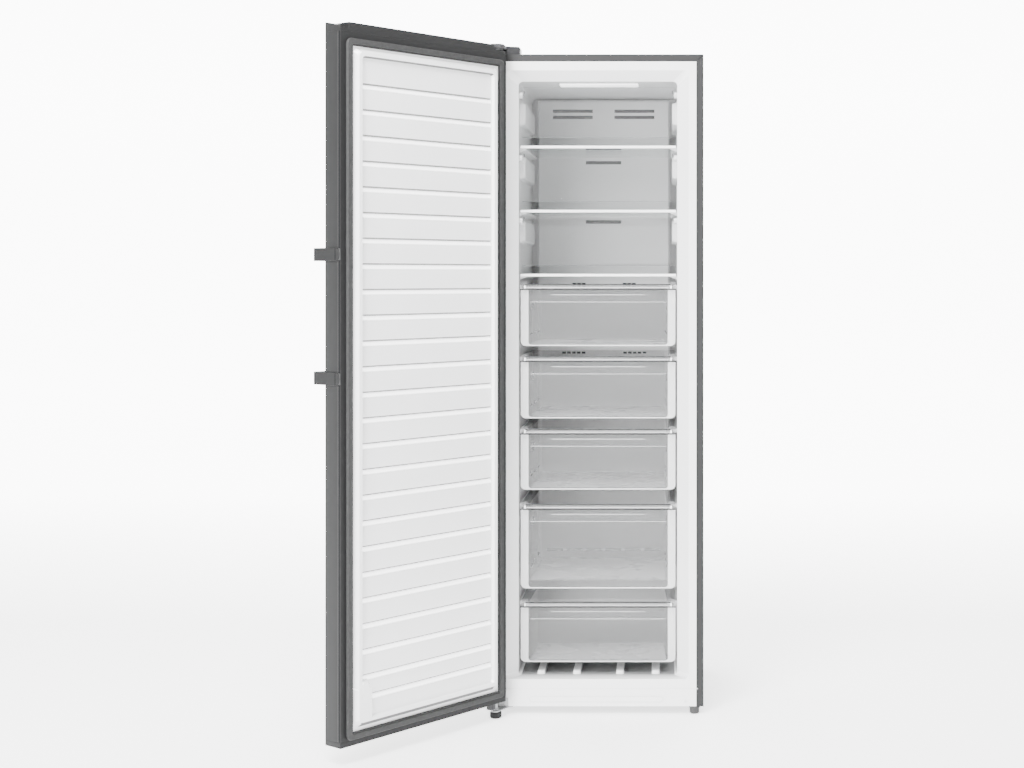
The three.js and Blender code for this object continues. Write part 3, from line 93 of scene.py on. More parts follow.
class Shader:
    """One material's node tree, built from expressions."""

    def __init__(self, name: str) -> None:
        """Starts an empty tree with an output node, in a material of this name."""
        self.material = bpy.data.materials.new(name)
        self.material.use_nodes = True
        self.tree = self.material.node_tree
        self.tree.nodes.clear()
        self.output = self.tree.nodes.new("ShaderNodeOutputMaterial")

    def node(
        self, kind: str, settings: dict[str, Any] | None = None, inputs: dict[Any, Any] | None = None
    ) -> bpy.types.Node:
        """Adds a node, sets its settings and then its sockets.

        Args:
            kind: The node's type name.
            settings: Properties such as a Math node's operation, and "stops" for a colour ramp.
            inputs: Values or flows by socket name or number.

        Returns:
            The new node.
        """
        made = self.tree.nodes.new(kind)
        for key, value in (settings or {}).items():
            if key == "stops":
                self._stops(made.color_ramp, value)
            else:
                setattr(made, key, value)
        for key, value in (inputs or {}).items():
            socket = made.inputs[key]
            if isinstance(value, Flow):
                self.tree.links.new(value.socket, socket)
            elif isinstance(value, tuple) and len(value) == 3 and socket.type == "RGBA":
                socket.default_value = (*value, 1.0)
            else:
                socket.default_value = value
        return made

    @staticmethod
    def _stops(ramp: bpy.types.ColorRamp, stops: Sequence[tuple[float, float]]) -> None:
        """Gives a colour ramp its grey stops as (place, level) pairs."""
        while len(ramp.elements) < len(stops):
            ramp.elements.new(0.5)
        for element, (place, level) in zip(ramp.elements, stops):
            element.position = place
            element.color = (level, level, level, 1.0)

    def math(self, operation: str, first: "Flow | float", second: "Flow | float") -> Flow:
        """Adds one Math node and returns its result."""
        made = self.node("ShaderNodeMath", {"operation": operation}, {0: first, 1: second})
        return Flow(self, made.outputs[0])

    def place(self, stretch: Stretch = EVEN) -> Flow:
        """Returns the place on the object, scaled along each axis by the stretch."""
        where = Flow(self, self.node("ShaderNodeTexCoord").outputs["Object"])
        turned = self.node("ShaderNodeMapping", None, {"Vector": where, "Scale": stretch})
        return Flow(self, turned.outputs[0])

    def noise(self, scale: float, detail: float = 3.0, stretch: Stretch = EVEN) -> Flow:
        """Returns a noise between 0 and 1.

        Args:
            scale: Features per metre.
            detail: Octaves of detail.
            stretch: Stretch of the coordinate, for brushed grain.

        Returns:
            The noise as a number flow.
        """
        inputs = {"Vector": self.place(stretch), "Scale": scale, "Detail": detail, "Roughness": 0.55}
        return Flow(self, self.node("ShaderNodeTexNoise", None, inputs).outputs[0])

    def ramp(self, factor: Flow, stops: Sequence[tuple[float, float]]) -> Flow:
        """Returns a factor passed through grey stops."""
        made = self.node("ShaderNodeValToRGB", {"stops": stops}, {0: factor})
        return Flow(self, made.outputs[0])

    def blend(self, first: Colour, second: Colour, factor: Flow) -> Flow:
        """Returns the first colour mixed into the second as the factor goes from 0 to 1."""
        made = self.node("ShaderNodeMix", {"data_type": "RGBA"}, {0: factor, 6: first, 7: second})
        return Flow(self, made.outputs[2])

    def bump(self, height: Flow, strength: float, distance: float) -> Flow:
        """Returns a normal raised by a height.

        Args:
            height: The relief, 0 to 1.
            strength: How much of it shows.
            distance: Its real depth in metres.

        Returns:
            The bent normal.
        """
        inputs = {"Strength": strength, "Distance": distance, "Height": height}
        return Flow(self, self.node("ShaderNodeBump", None, inputs).outputs[0])

    def surface(self, **sockets: Any) -> bpy.types.Material:
        """Closes the tree with a Principled shader and returns the material.

        Args:
            **sockets: Values or flows, with the socket's spaces written as underscores.

        Returns:
            The finished material.
        """
        named = {key.replace("_", " "): value for key, value in sockets.items()}
        made = self.node("ShaderNodeBsdfPrincipled", None, named)
        self.tree.links.new(made.outputs[0], self.output.inputs[0])
        return self.material


# -------------------------------------------- finishes


def toned(colour: Colour, factor: float, lift: float = 0.0) -> Colour:
    """Returns a colour made darker or lighter.

    Args:
        colour: The colour.
        factor: What each channel is multiplied by.
        lift: What is then added to it.

    Returns:
        The new colour, with no channel above 1.
    """
    return tuple(min(1.0, channel * factor + lift) for channel in colour)


@dataclass(frozen=True)
class PaintedSteel:
    """Powder-painted sheet steel with a fine orange-peel surface."""

    name: str
    colour: Colour
    roughness: float = 0.45
    metallic: float = 0.15
    peel: float = 0.00002
    dimples: float = 900.0
    flakes: float = 2400.0

    def material(self) -> bpy.types.Material:
        """Builds the paint: broad tone drift, fine flake and orange peel."""
        shader = Shader(self.name)
        drift = shader.noise(2.5, 2.0)
        flake = shader.noise(self.flakes, 2.0)
        tone = (drift * 0.7 + flake * 0.3).clamped()
        peel = shader.noise(self.dimples, 2.0)
        return shader.surface(
            Base_Color=shader.blend(toned(self.colour, 0.93), toned(self.colour, 1.07), tone),
            Metallic=self.metallic,
            Roughness=(drift * 0.08 + (self.roughness - 0.04)).clamped(),
            Normal=shader.bump(peel, 0.12, self.peel),
            Specular_IOR_Level=0.15,
        )


@dataclass(frozen=True)
class BareMetal:
    """Plated, drawn or cast metal with a directional grain."""

    name: str
    colour: Colour
    roughness: float
    metallic: float = 0.95
    stretch: Stretch = (1.0, 1.0, 0.04)
    grain: float = 900.0
    relief: float = 0.00003

    def material(self) -> bpy.types.Material:
        """Builds the metal: grain in tone, gloss and relief."""
        shader = Shader(self.name)
        grain = shader.noise(self.grain, 4.0, self.stretch)
        stain = shader.noise(14.0, 4.0)
        tone = (stain * 0.6 + grain * 0.4).clamped()
        return shader.surface(
            Base_Color=shader.blend(toned(self.colour, 0.8), self.colour, tone),
            Metallic=self.metallic,
            Roughness=(grain * 0.18 + stain * 0.1 + (self.roughness - 0.12)).clamped(),
            Normal=shader.bump(grain, 0.25, self.relief),
        )


@dataclass(frozen=True)
class MouldedPlastic:
    """Opaque moulded or vacuum-formed plastic; the gloss is a clear coat's weight, the relief in metres."""

    name: str
    colour: Colour
    roughness: float = 0.32
    grain: float = 1500.0
    relief: float = 0.00001
    gloss: float = 0.2
    glow: float = 0.0
    shine: float = 0.5

    def material(self) -> bpy.types.Material:
        """Builds the plastic: faint flow marks and a fine moulded skin."""
        shader = Shader(self.name)
        flow = shader.noise(5.0, 3.0)
        skin = shader.noise(self.grain, 2.0)
        return shader.surface(
            Base_Color=shader.blend(toned(self.colour, 0.965), toned(self.colour, 1.02), flow),
            Roughness=(flow * 0.08 + skin * 0.06 + (self.roughness - 0.07)).clamped(),
            Normal=shader.bump(skin, 0.3, self.relief),
            Coat_Weight=self.gloss,
            Coat_Roughness=0.12,
            Emission_Color=(1.0, 1.0, 1.0),
            Emission_Strength=self.glow,
            Specular_IOR_Level=self.shine,
        )


@dataclass(frozen=True)
class GradedPlastic:
    """Moulded plastic whose tone changes between two places on one axis, where it lies in the shade."""

    name: str
    first: Colour
    last: Colour
    axis: int
    start: float
    end: float
    ripple: float = 0.1

    def material(self) -> bpy.types.Material:
        """Builds the plastic with its tone falling off between the two places."""
        shader = Shader(self.name)
        flow = shader.noise(5.0, 3.0)
        parts = shader.node("ShaderNodeSeparateXYZ", None, {0: shader.place()})
        along = Flow(shader, parts.outputs[self.axis])
        steep = 1.0 / (self.end - self.start)
        change = (along * steep + flow * self.ripple + (-self.start * steep - self.ripple / 2)).clamped()
        return shader.surface(
            Base_Color=shader.blend(self.first, self.last, change),
            Roughness=(flow * 0.08 + 0.4).clamped(),
            Specular_IOR_Level=0.2,
        )


@dataclass(frozen=True)
class ClearPlastic:
    """Transparent moulded plastic or glass, seen through and still catching light."""

    name: str
    colour: Colour
    alpha: float
    roughness: float = 0.08
    cloud: float = 0.05
    shine: float = 0.5

    def material(self) -> bpy.types.Material:
        """Builds the clear sheet: faint clouding and flow lines."""
        shader = Shader(self.name)
        cloud = shader.noise(9.0, 3.0)
        flow = shader.noise(60.0, 2.0, (1.0, 1.0, 0.2))
        return shader.surface(
            Base_Color=shader.blend(toned(self.colour, 0.96), self.colour, cloud),
            Roughness=(cloud * self.cloud + self.roughness).clamped(),
            Alpha=(cloud * self.cloud + (self.alpha - self.cloud / 2)).clamped(),
            Normal=shader.bump(flow, 0.15, 0.00008),
            IOR=1.5,
            Specular_IOR_Level=self.shine,
        )


@dataclass(frozen=True)
class Rubber:
    """Soft extruded rubber or vinyl."""

    name: str
    colour: Colour

    def material(self) -> bpy.types.Material:
        """Builds the rubber: dull, with dust and fine pits."""
        shader = Shader(self.name)
        dust = shader.noise(120.0, 4.0)
        pits = shader.noise(1800.0, 3.0)
        dusty = shader.ramp(dust, [(0.35, 0.0), (0.8, 1.0)])
        return shader.surface(
            Base_Color=shader.blend(self.colour, toned(self.colour, 1.35, 0.01), dusty),
            Roughness=(dust * 0.15 + 0.62).clamped(),
            Normal=shader.bump(pits, 0.4, 0.00004),
        )


@dataclass(frozen=True)
class Foam:
    """Rigid foamed insulation with closed cells."""

    name: str
    colour: Colour

    def material(self) -> bpy.types.Material:
        """Builds the foam: cells in relief over a mottled tone."""
        shader = Shader(self.name)
        cells = shader.noise(420.0, 5.0)
        mottle = shader.noise(30.0, 4.0)
        tone = (cells * 0.5 + mottle * 0.5).clamped()
        return shader.surface(
            Base_Color=shader.blend(toned(self.colour, 0.8), self.colour, tone),
            Roughness=(cells * 0.1 + 0.85).clamped(),
            Normal=shader.bump(cells, 0.8, 0.0005),
        )


def coarse(name: str, colour: Colour, roughness: float, shine: float = 0.5) -> MouldedPlastic:
    """Returns the finish of a plastic with a coarse skin and no gloss."""
    return MouldedPlastic(name, colour, roughness, grain=700.0, relief=0.00004, gloss=0.0, shine=shine)


class Coat(Enum):
    """The finishes of this freezer, each with the record's slot it belongs to."""

    CASE_GREY = (PaintedSteel("case_grey", (0.029, 0.0294, 0.0298)), "grey_steel")
    ZINC = (BareMetal("zinc", (0.34, 0.345, 0.35), 0.38), "zinc_steel")
    BLACK_PAINT = (PaintedSteel("black_paint", (0.018, 0.018, 0.02), 0.35, 0.0), "black_steel")
    FIN_METAL = (BareMetal("fin_metal", (0.78, 0.79, 0.8), 0.35), "aluminium")
    COPPER = (BareMetal("copper_pipe", (0.72, 0.36, 0.22), 0.3, grain=300.0, stretch=EVEN), "copper")
    LINER_WHITE = (MouldedPlastic("liner_white", (0.86, 0.862, 0.865)), "white_plastic")
    LAMP_WHITE = (MouldedPlastic("lamp_white", (0.9, 0.9, 0.9), 0.22, glow=2.5), "white_plastic")
    # Painted shade on the door liner's downward-facing groove walls.
    GROOVE_SHADE = (MouldedPlastic("groove_shade", (0.13, 0.131, 0.132), 0.5, shine=0.2), "white_plastic")
    TRIM_WHITE = (MouldedPlastic("trim_white", (0.93, 0.93, 0.93), 0.25), "white_plastic")
    # Painted shade: the evaporator cover turns from pale grey to dark grey above the top drawer, in the
    # shelf compartments.
    COVER_GREY = (
        GradedPlastic("cover_grey", (0.8, 0.803, 0.806), (0.43, 0.434, 0.438), 2, 1.19, 1.24),
        "white_plastic",
    )
    DRAWER_BIN = (ClearPlastic("drawer_bin", (0.4, 0.405, 0.41), 0.13, 0.1, 0.03), "clear_plastic")
    DRAWER_BASE = (ClearPlastic("drawer_base", (0.5, 0.505, 0.51), 0.9, 0.25), "clear_plastic")
    DRAWER_CLEAR = (ClearPlastic("drawer_clear", (0.7, 0.705, 0.71), 0.035, 0.05, 0.02), "clear_plastic")
    DRAWER_FRAME = (ClearPlastic("drawer_frame", (0.88, 0.885, 0.89), 0.62, 0.2), "clear_plastic")
    BAND_CLEAR = (ClearPlastic("band_clear", (0.8, 0.805, 0.81), 0.12, 0.1, 0.03), "clear_plastic")
    RAIL_CLEAR = (ClearPlastic("rail_clear", (0.85, 0.855, 0.86), 0.35, 0.1, 0.03), "clear_plastic")
    SHADE_LINE = (ClearPlastic("shade_line", (0.03, 0.03, 0.031), 0.86, 0.3, 0.02, 0.1), "clear_plastic")
    # Painted shadow: the cavity floor is white at its front edge and dark grey behind it, under the drawers.
    FLOOR_SHADE = (
        GradedPlastic("floor_shade", (0.84, 0.842, 0.845), (0.2, 0.202, 0.205), 1, -0.034, 0.014),
        "white_plastic",
    )
    # Painted highlight: the door liner's groove ramps glow white though the liner is no lamp.
    RIDGE_WHITE = (MouldedPlastic("ridge_white", (0.95, 0.95, 0.95), 0.25, glow=2.4), "white_plastic")
    # Painted shade: a grey for the liner's faces inside the cavity, darker than the liner's own white.
    CAVITY_PAINTED_SHADE = (MouldedPlastic("cavity_painted_shade", (0.6, 0.603, 0.606), 0.4), "white_plastic")
    # Painted shade on the bevel round the cavity's mouth; also the dimmer white on the kick panel's raised
    # front.
    BEVEL_WHITE = (MouldedPlastic("bevel_white", (0.77, 0.772, 0.775), 0.4), "white_plastic")
    # Painted shade: the case's painted steel made darker on the door, which faces the fill light.
    DOOR_GREY = (PaintedSteel("door_grey", (0.019, 0.0193, 0.0196)), "grey_steel")
    # Painted shade: seal rubber made darker for the recess beside the seal.
    SEAL_SHADE = (Rubber("seal_shade", (0.006, 0.0062, 0.0064)), "rubber")
    # Painted shade: a dark grey on the edges of clear plastic, on the flaps' lips, the bins' rims and the
    # bins' slot edges.
    CLEAR_EDGE = (ClearPlastic("clear_edge", (0.2, 0.203, 0.207), 0.8, 0.1), "clear_plastic")
    JOINT_DARK = (coarse("joint_dark", (0.008, 0.008, 0.009), 0.7, 0.0), "black_plastic")
    # Painted shade: near-black plates set in air slots, where only the shade behind the slot shows.
    SLOT_PAINTED_SHADE = (coarse("slot_painted_shade", (0.02, 0.02, 0.021), 0.8, 0.0), "black_plastic")
    # A lighter painted steel: the handle brackets' caps, and a painted highlight along the door's upright
    # sides.
    STEEL_EDGE = (PaintedSteel("steel_edge", (0.045, 0.0455, 0.046), 0.4), "grey_steel")
    FOOT_DARK = (coarse("foot_dark", (0.012, 0.012, 0.0125), 0.6, 0.2), "black_plastic")
    FOOT_GREY = (coarse("foot_grey", (0.055, 0.055, 0.056), 0.6, 0.2), "black_plastic")
    FLAP_CLEAR = (ClearPlastic("flap_clear", (0.6, 0.605, 0.61), 0.03, 0.06, 0.01), "clear_plastic")
    SHELF_GLASS = (ClearPlastic("shelf_glass", (0.74, 0.8, 0.79), 0.22, 0.03), "glass")
    YELLOW_FOAM = (Foam("yellow_foam", (0.82, 0.74, 0.48)), "foam")
    SEAL_GREY = (Rubber("seal_grey", (0.013, 0.0132, 0.0135)), "rubber")
    BLACK_PLASTIC = (coarse("black_plastic", (0.018, 0.018, 0.02), 0.48), "black_plastic")

    @property
    def slot(self) -> str:
        """The record's material slot."""
        return self.value[1]


class Paintbox:
    """Makes each material once and hands it out."""

    def __init__(self) -> None:
        """Starts with no material made."""
        self.made: dict[Coat, bpy.types.Material] = {}

    def material(self, coat: Coat) -> bpy.types.Material:
        """Returns the coat's material, building it the first time."""
        if coat not in self.made:
            self.made[coat] = coat.value[0].material()
        return self.made[coat]

    def dress(self, piece: bpy.types.Object, coat: Coat) -> None:
        """Gives a piece one coat all over."""
        piece.data.materials.clear()
        piece.data.materials.append(self.material(coat))


# -------------------------------------------- shape tools


def swung(x: float, y: float, z: float) -> Vector:
    """Returns the place of a point of the door, drawn shut, once it is swung open.

    Args:
        x: Millimetres to the right of the cabinet's centre line.
        y: Millimetres behind the cabinet's front.
        z: Millimetres above the floor.

    Returns:
        The point in metres.
    """
    across, back = x - HINGE[0], y - HINGE[1]
    turned_x = across * math.cos(DOOR_TURN) - back * math.sin(DOOR_TURN)
    turned_y = across * math.sin(DOOR_TURN) + back * math.cos(DOOR_TURN)
    return placed(HINGE[0] + turned_x, HINGE[1] + turned_y, z)


def placed(x: float, y: float, z: float) -> Vector:
    """Returns a point in the part's frame, in metres.

    Args:
        x: Millimetres to the right of the cabinet's centre line.
        y: Millimetres behind the cabinet's front.
        z: Millimetres above the floor.

    Returns:
        The point.
    """
    return Vector(((x + SHIFT[0]) / PER_METRE, (y + SHIFT[1]) / PER_METRE, z / PER_METRE))


def span(side: int, first: float, second: float) -> tuple[float, float]:
    """Returns the lowest and highest X of a stretch on one side of the centre line.

    Args:
        side: -1 for the left and 1 for the right.
        first: The distance of one end from the centre line.
        second: The distance of the other end.

    Returns:
        The lowest and the highest X.
    """
    low, high = sorted((side * first, side * second))
    return low, high


def corners_of(result: dict[str, Any]) -> list[bmesh.types.BMVert]:
    """Returns the corners among the parts that a bmesh operator made."""
    return [part for part in result["geom"] if isinstance(part, bmesh.types.BMVert)]


def softened(
    shape: bmesh.types.BMesh, edges: list[bmesh.types.BMEdge], offset: float, segments: int
) -> None:
    """Rounds some edges of a shape.

    Args:
        shape: The bmesh, which is changed.
        edges: The edges.
        offset: The rounding, in the corners' unit.
        segments: Its facets.
    """
    bmesh.ops.bevel(
        shape,
        geom=edges,
        offset=offset,
        segments=segments,
        profile=0.5,
        affect="EDGES",
        material=-1,
        offset_type="OFFSET",
    )


@dataclass
class Workshop:
    """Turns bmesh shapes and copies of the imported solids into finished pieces."""

    paints: Paintbox

    def piece(
        self, shape: bmesh.types.BMesh, name: str, coat: Coat, body: str, smooth: float = 35.0
    ) -> bpy.types.Object:
        """Makes an object of a bmesh, coats it and lets it ride on a body.

        Args:
            shape: The bmesh, in metres in the part's frame. It is freed.
            name: The piece's name.
            coat: Its finish.
            body: The moving body it belongs to.
            smooth: Edges flatter than this many degrees shade smooth.

        Returns:
            The new object.
        """
        mesh = bpy.data.meshes.new(name)
        shape.to_mesh(mesh)
        shape.free()
        made = bpy.data.objects.new(name, mesh)
        bpy.context.collection.objects.link(made)
        self.shade(made, smooth)
        self.paints.dress(made, coat)
        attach(made, body)
        coat.slot
        log.info("piece %s on %s: %d faces", name, body, len(mesh.polygons))
        return made

    @staticmethod
    def shade(piece: bpy.types.Object, angle: float) -> None:
        """Shades a piece smooth, but for the edges sharper than an angle in degrees."""
        shape = bmesh.new()
        shape.from_mesh(piece.data)
        for face in shape.faces:
            face.smooth = True
        for edge in shape.edges:
            edge.smooth = edge.is_manifold and edge.calc_face_angle(math.pi) < math.radians(angle)
        shape.to_mesh(piece.data)
        shape.free()

    @staticmethod
    def copied(node: str) -> bmesh.types.BMesh:
        """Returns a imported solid's shape with its doubles merged and its flat faces joined.

        Args:
            node: The solid's name.

        Returns:
            A bmesh of its own, in metres.
        """
        shape = bmesh.new()
        shape.from_mesh(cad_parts[node].data)
        weld, flat = 0.00002, math.radians(0.5)
        bmesh.ops.remove_doubles(shape, verts=shape.verts, dist=weld)
        bmesh.ops.dissolve_limit(
            shape, angle_limit=flat, verts=shape.verts, edges=shape.edges, use_dissolve_boundaries=False
        )
        return shape

    def rounded(self, node: str, coat: Coat, body: str, radius: float) -> bpy.types.Object:
        """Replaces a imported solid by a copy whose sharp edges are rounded.

        Args:
            node: The solid's name.
            coat: The finish of the copy.
            body: The body it rides on.
            radius: The rounding in millimetres.

        Returns:
            The piece that stands for the solid.
        """
        sharp = 30.0
        made = self.piece(self.copied(node), f"{node}_soft", coat, body, sharp)
        bevel = made.modifiers.new("edge", "BEVEL")
        bevel.width = radius / PER_METRE
        bevel.segments = 2
        bevel.limit_method = "ANGLE"
        bevel.angle_limit = math.radians(sharp)
        bevel.harden_normals = True
        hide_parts(node)
        return made

    def dressed(
        self, coats: dict[str, Coat], soft: dict[str, float], body: str
    ) -> dict[str, bpy.types.Object]:
        """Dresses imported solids, and replaces those with a rounding by rounded copies.

        Args:
            coats: Each solid's finish.
            soft: The rounding in millimetres of the solids that are replaced.
            body: The body that the copies ride on.

        Returns:
            The copies by their solids' names.
        """
        made = {}
        for node, coat in coats.items():
            if node in soft:
                made[node] = self.rounded(node, coat, body, soft[node])
            else:
                self.paints.dress(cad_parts[node], coat)
        return made

    def tinted(self, piece: bpy.types.Object, coat: Coat, chosen: Chooser) -> None:
        """Gives some faces of a piece a second finish.

        Args:
            piece: The piece.
            coat: The second finish.
            chosen: Says by a face's middle, normal and area whether it takes that finish.
        """
        piece.data.materials.append(self.paints.material(coat))
        place = len(piece.data.materials) - 1
        for face in piece.data.polygons:
            if chosen(face.center, face.normal, face.area):
                face.material_index = place

    def bar(
        self,
        low: Point,
        high: Point,
        name: str,
        coat: Coat,
        body: str,
        radius: float = 0.3,
        turn: float = 0.0,
    ) -> bpy.types.Object:
        """Makes a small bar or plate with soft edges from its corners in millimetres.

        Args:
            low: The lowest corner as drawn in the cabinet, or on the shut door.
            high: The highest corner.
            name: The piece's name.
            coat: Its finish.
            body: The body it rides on; on the door it is swung open with it.
            radius: The rounding in millimetres.
            turn: Degrees that it is tilted about its middle, seen from the front.

        Returns:
            The new piece.
        """
        middle = (Vector(low) + Vector(high)) / 2
        shape = bmesh.new()
        bmesh.ops.create_cube(shape, size=1.0)
        bmesh.ops.scale(shape, vec=Vector(high) - Vector(low), verts=shape.verts)
        bmesh.ops.translate(shape, vec=middle, verts=shape.verts)
        softened(shape, shape.edges[:], radius, 2)
        tilt = Matrix.Rotation(math.radians(turn), 3, "Y")
        bmesh.ops.rotate(shape, cent=middle, matrix=tilt, verts=shape.verts)
        place = swung if body == "door" else placed
        for corner in shape.verts:
            corner.co = place(*corner.co)
        bmesh.ops.recalc_face_normals(shape, faces=shape.faces)
        return self.piece(shape, name, coat, body)

    @staticmethod
    def drawn_out(shape: bmesh.types.BMesh, by: Vector) -> None:
        """Gives a flat shape its thickness.

        Args:
            shape: The flat bmesh, which is changed.
            by: How far its faces are drawn out, in metres.
        """
        grown = bmesh.ops.extrude_face_region(shape, geom=shape.faces[:])
        bmesh.ops.translate(shape, vec=by, verts=corners_of(grown))
        bmesh.ops.recalc_face_normals(shape, faces=shape.faces)


# -------------------------------------------- sub-assemblies


@dataclass
class Cabinet:
    """The case, liner, base and hinges that stay put."""

    shop: Workshop
    coats: ClassVar[dict[str, Coat]] = {
        "outer_case": Coat.CASE_GREY,
        "rear_panel": Coat.ZINC,
        "insulation_foam": Coat.YELLOW_FOAM,
        "inner_liner": Coat.LINER_WHITE,
        "base_pan": Coat.ZINC,
        "front_rail": Coat.ZINC,
        "kick_panel": Coat.LINER_WHITE,
        "evaporator_cover": Coat.COVER_GREY,
        "light_bar": Coat.LAMP_WHITE,
        "upper_hinge_bracket": Coat.ZINC,
        "upper_hinge_cover": Coat.BLACK_PLASTIC,
        "lower_hinge_bracket": Coat.ZINC,
        "roller_left": Coat.BLACK_PLASTIC,
        "roller_right": Coat.BLACK_PLASTIC,
        "foot_left": Coat.FOOT_DARK,
        "foot_right": Coat.FOOT_GREY,
    }
    soft: ClassVar[dict[str, float]] = {
        "outer_case": 0.5,
        "rear_panel": 0.4,
        "inner_liner": 1.0,
        "kick_panel": 0.8,
        "evaporator_cover": 0.8,
        "light_bar": 0.6,
        "upper_hinge_cover": 1.5,
    }
    case_half: float = 297.5
    case_top: float = 1850.0
    fold: float = 16.5
    seam_proud: float = 0.25
    seam_sunk: float = 0.4
    liner_bottom: float = 71.6
    cavity_floor: float = 101.0
    mouth: float = 46.0
    panel_raised: float = -1.0

    def build(self) -> None:
        """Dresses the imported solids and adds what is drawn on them."""
        made = self.shop.dressed(self.coats, self.soft, "cabinet")
        self._liner_painted_shade(made["inner_liner"])
        self.shop.tinted(made["light_bar"], Coat.TRIM_WHITE, lambda at, out, area: out.z > -0.5)
        self._mitres()
        # The kick panel's faces in front of its raised plane take a dimmer white.
        raised = placed(0.0, self.panel_raised, 0.0).y
        self.shop.tinted(made["kick_panel"], Coat.BEVEL_WHITE, lambda at, out, area: at.y < raised)
        wide, half = self.case_half - self.fold, 1.2
        low = (-wide, -self.seam_proud, self.liner_bottom - half)
        high = (wide, self.seam_sunk, self.liner_bottom + half)
        # The kick joint line takes this coat's pale lower grey.
        self.shop.bar(low, high, "kick_joint", Coat.COVER_GREY, "cabinet", 0.1)

    def _liner_painted_shade(self, liner: bpy.types.Object) -> None:
        """Gives the liner's floor, its walls behind the mouth and the mouth's bevel greys of painted shade:
        a shadow on the floor behind its front edge, shade over the cavity's walls, ceiling and back, and
        shade on the bevel.

        Args:
            liner: The piece that stands for the liner.
        """
        floor = self.cavity_floor / PER_METRE
        mouth = placed(0.0, self.mouth, 0.0).y
        # Each painted shade with the liner faces it goes on.
        painted_shades: tuple[tuple[Coat, Chooser], ...] = (
            # Painted shadow on the cavity floor.
            (Coat.FLOOR_SHADE, lambda at, out, area: out.z > FACING and abs(at.z - floor) < 0.002),
            (
                Coat.CAVITY_PAINTED_SHADE,
                lambda at, out, area: at.y > mouth and (abs(at.z - floor) > 0.01 or abs(out.x) > FACING),
            ),
            # Painted shade on the mouth's bevel.
            (Coat.BEVEL_WHITE, lambda at, out, area: at.y < mouth and -0.95 < out.y < -0.3 and area > 0.002),
        )
        for coat, chosen in painted_shades:
            self.shop.tinted(liner, coat, chosen)

    def _mitres(self) -> None:
        """Adds the slanted joint lines at the flange's upper corners."""
        reach, half = self.fold * math.sqrt(0.5) - 1.2, 0.6
        across, level = self.case_half - self.fold / 2, self.case_top - self.fold / 2
        for side, name in SIDES:
            low = (side * across - reach, -self.seam_proud, level - half)
            high = (side * across + reach, self.seam_sunk, level + half)
            self.shop.bar(low, high, f"mitre_{name}", Coat.JOINT_DARK, "cabinet", 0.1, -45.0 * side)


@dataclass
class CoolingUnit:
    """The compressor, coil, fan and pipes."""

    shop: Workshop
    coats: ClassVar[dict[str, Coat]] = {
        "evaporator": Coat.FIN_METAL,
        "defrost_heater": Coat.ZINC,
        "fan_housing": Coat.BLACK_PLASTIC,
        "fan_motor": Coat.ZINC,
        "fan_blade": Coat.LINER_WHITE,
        "drain_tube": Coat.BLACK_PLASTIC,
        "evaporation_tray": Coat.BLACK_PLASTIC,
        "compressor": Coat.BLACK_PAINT,
        "relay_box": Coat.BLACK_PLASTIC,
        "filter_drier": Coat.COPPER,
        "discharge_pipe": Coat.COPPER,
        "suction_pipe": Coat.COPPER,
        "compressor_cover": Coat.ZINC,
    }

    def build(self) -> None:
        """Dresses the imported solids."""
        self.shop.dressed(self.coats, {}, "cabinet")


@dataclass(frozen=True)
class Drawer:
    """One drawer's levels in millimetres."""

    number: int
    low: float
    high: float

    @property
    def body(self) -> str:
        """The drawer's moving body."""
        return f"drawer_{self.number}"


@dataclass(frozen=True)
class FrontLine:
    """A thin bar across a drawer, in millimetres from the front's plane and the top band's lower edge."""

    name: str
    reach: float
    front: float
    low: float
    tall: float
    coat: Coat


@dataclass(frozen=True)
class BandEnd:
    """A small upright bar near both ends of a drawer's top band, in millimetres from the ends."""

    name: str
    near: float
    far: float
    high: float
    coat: Coat


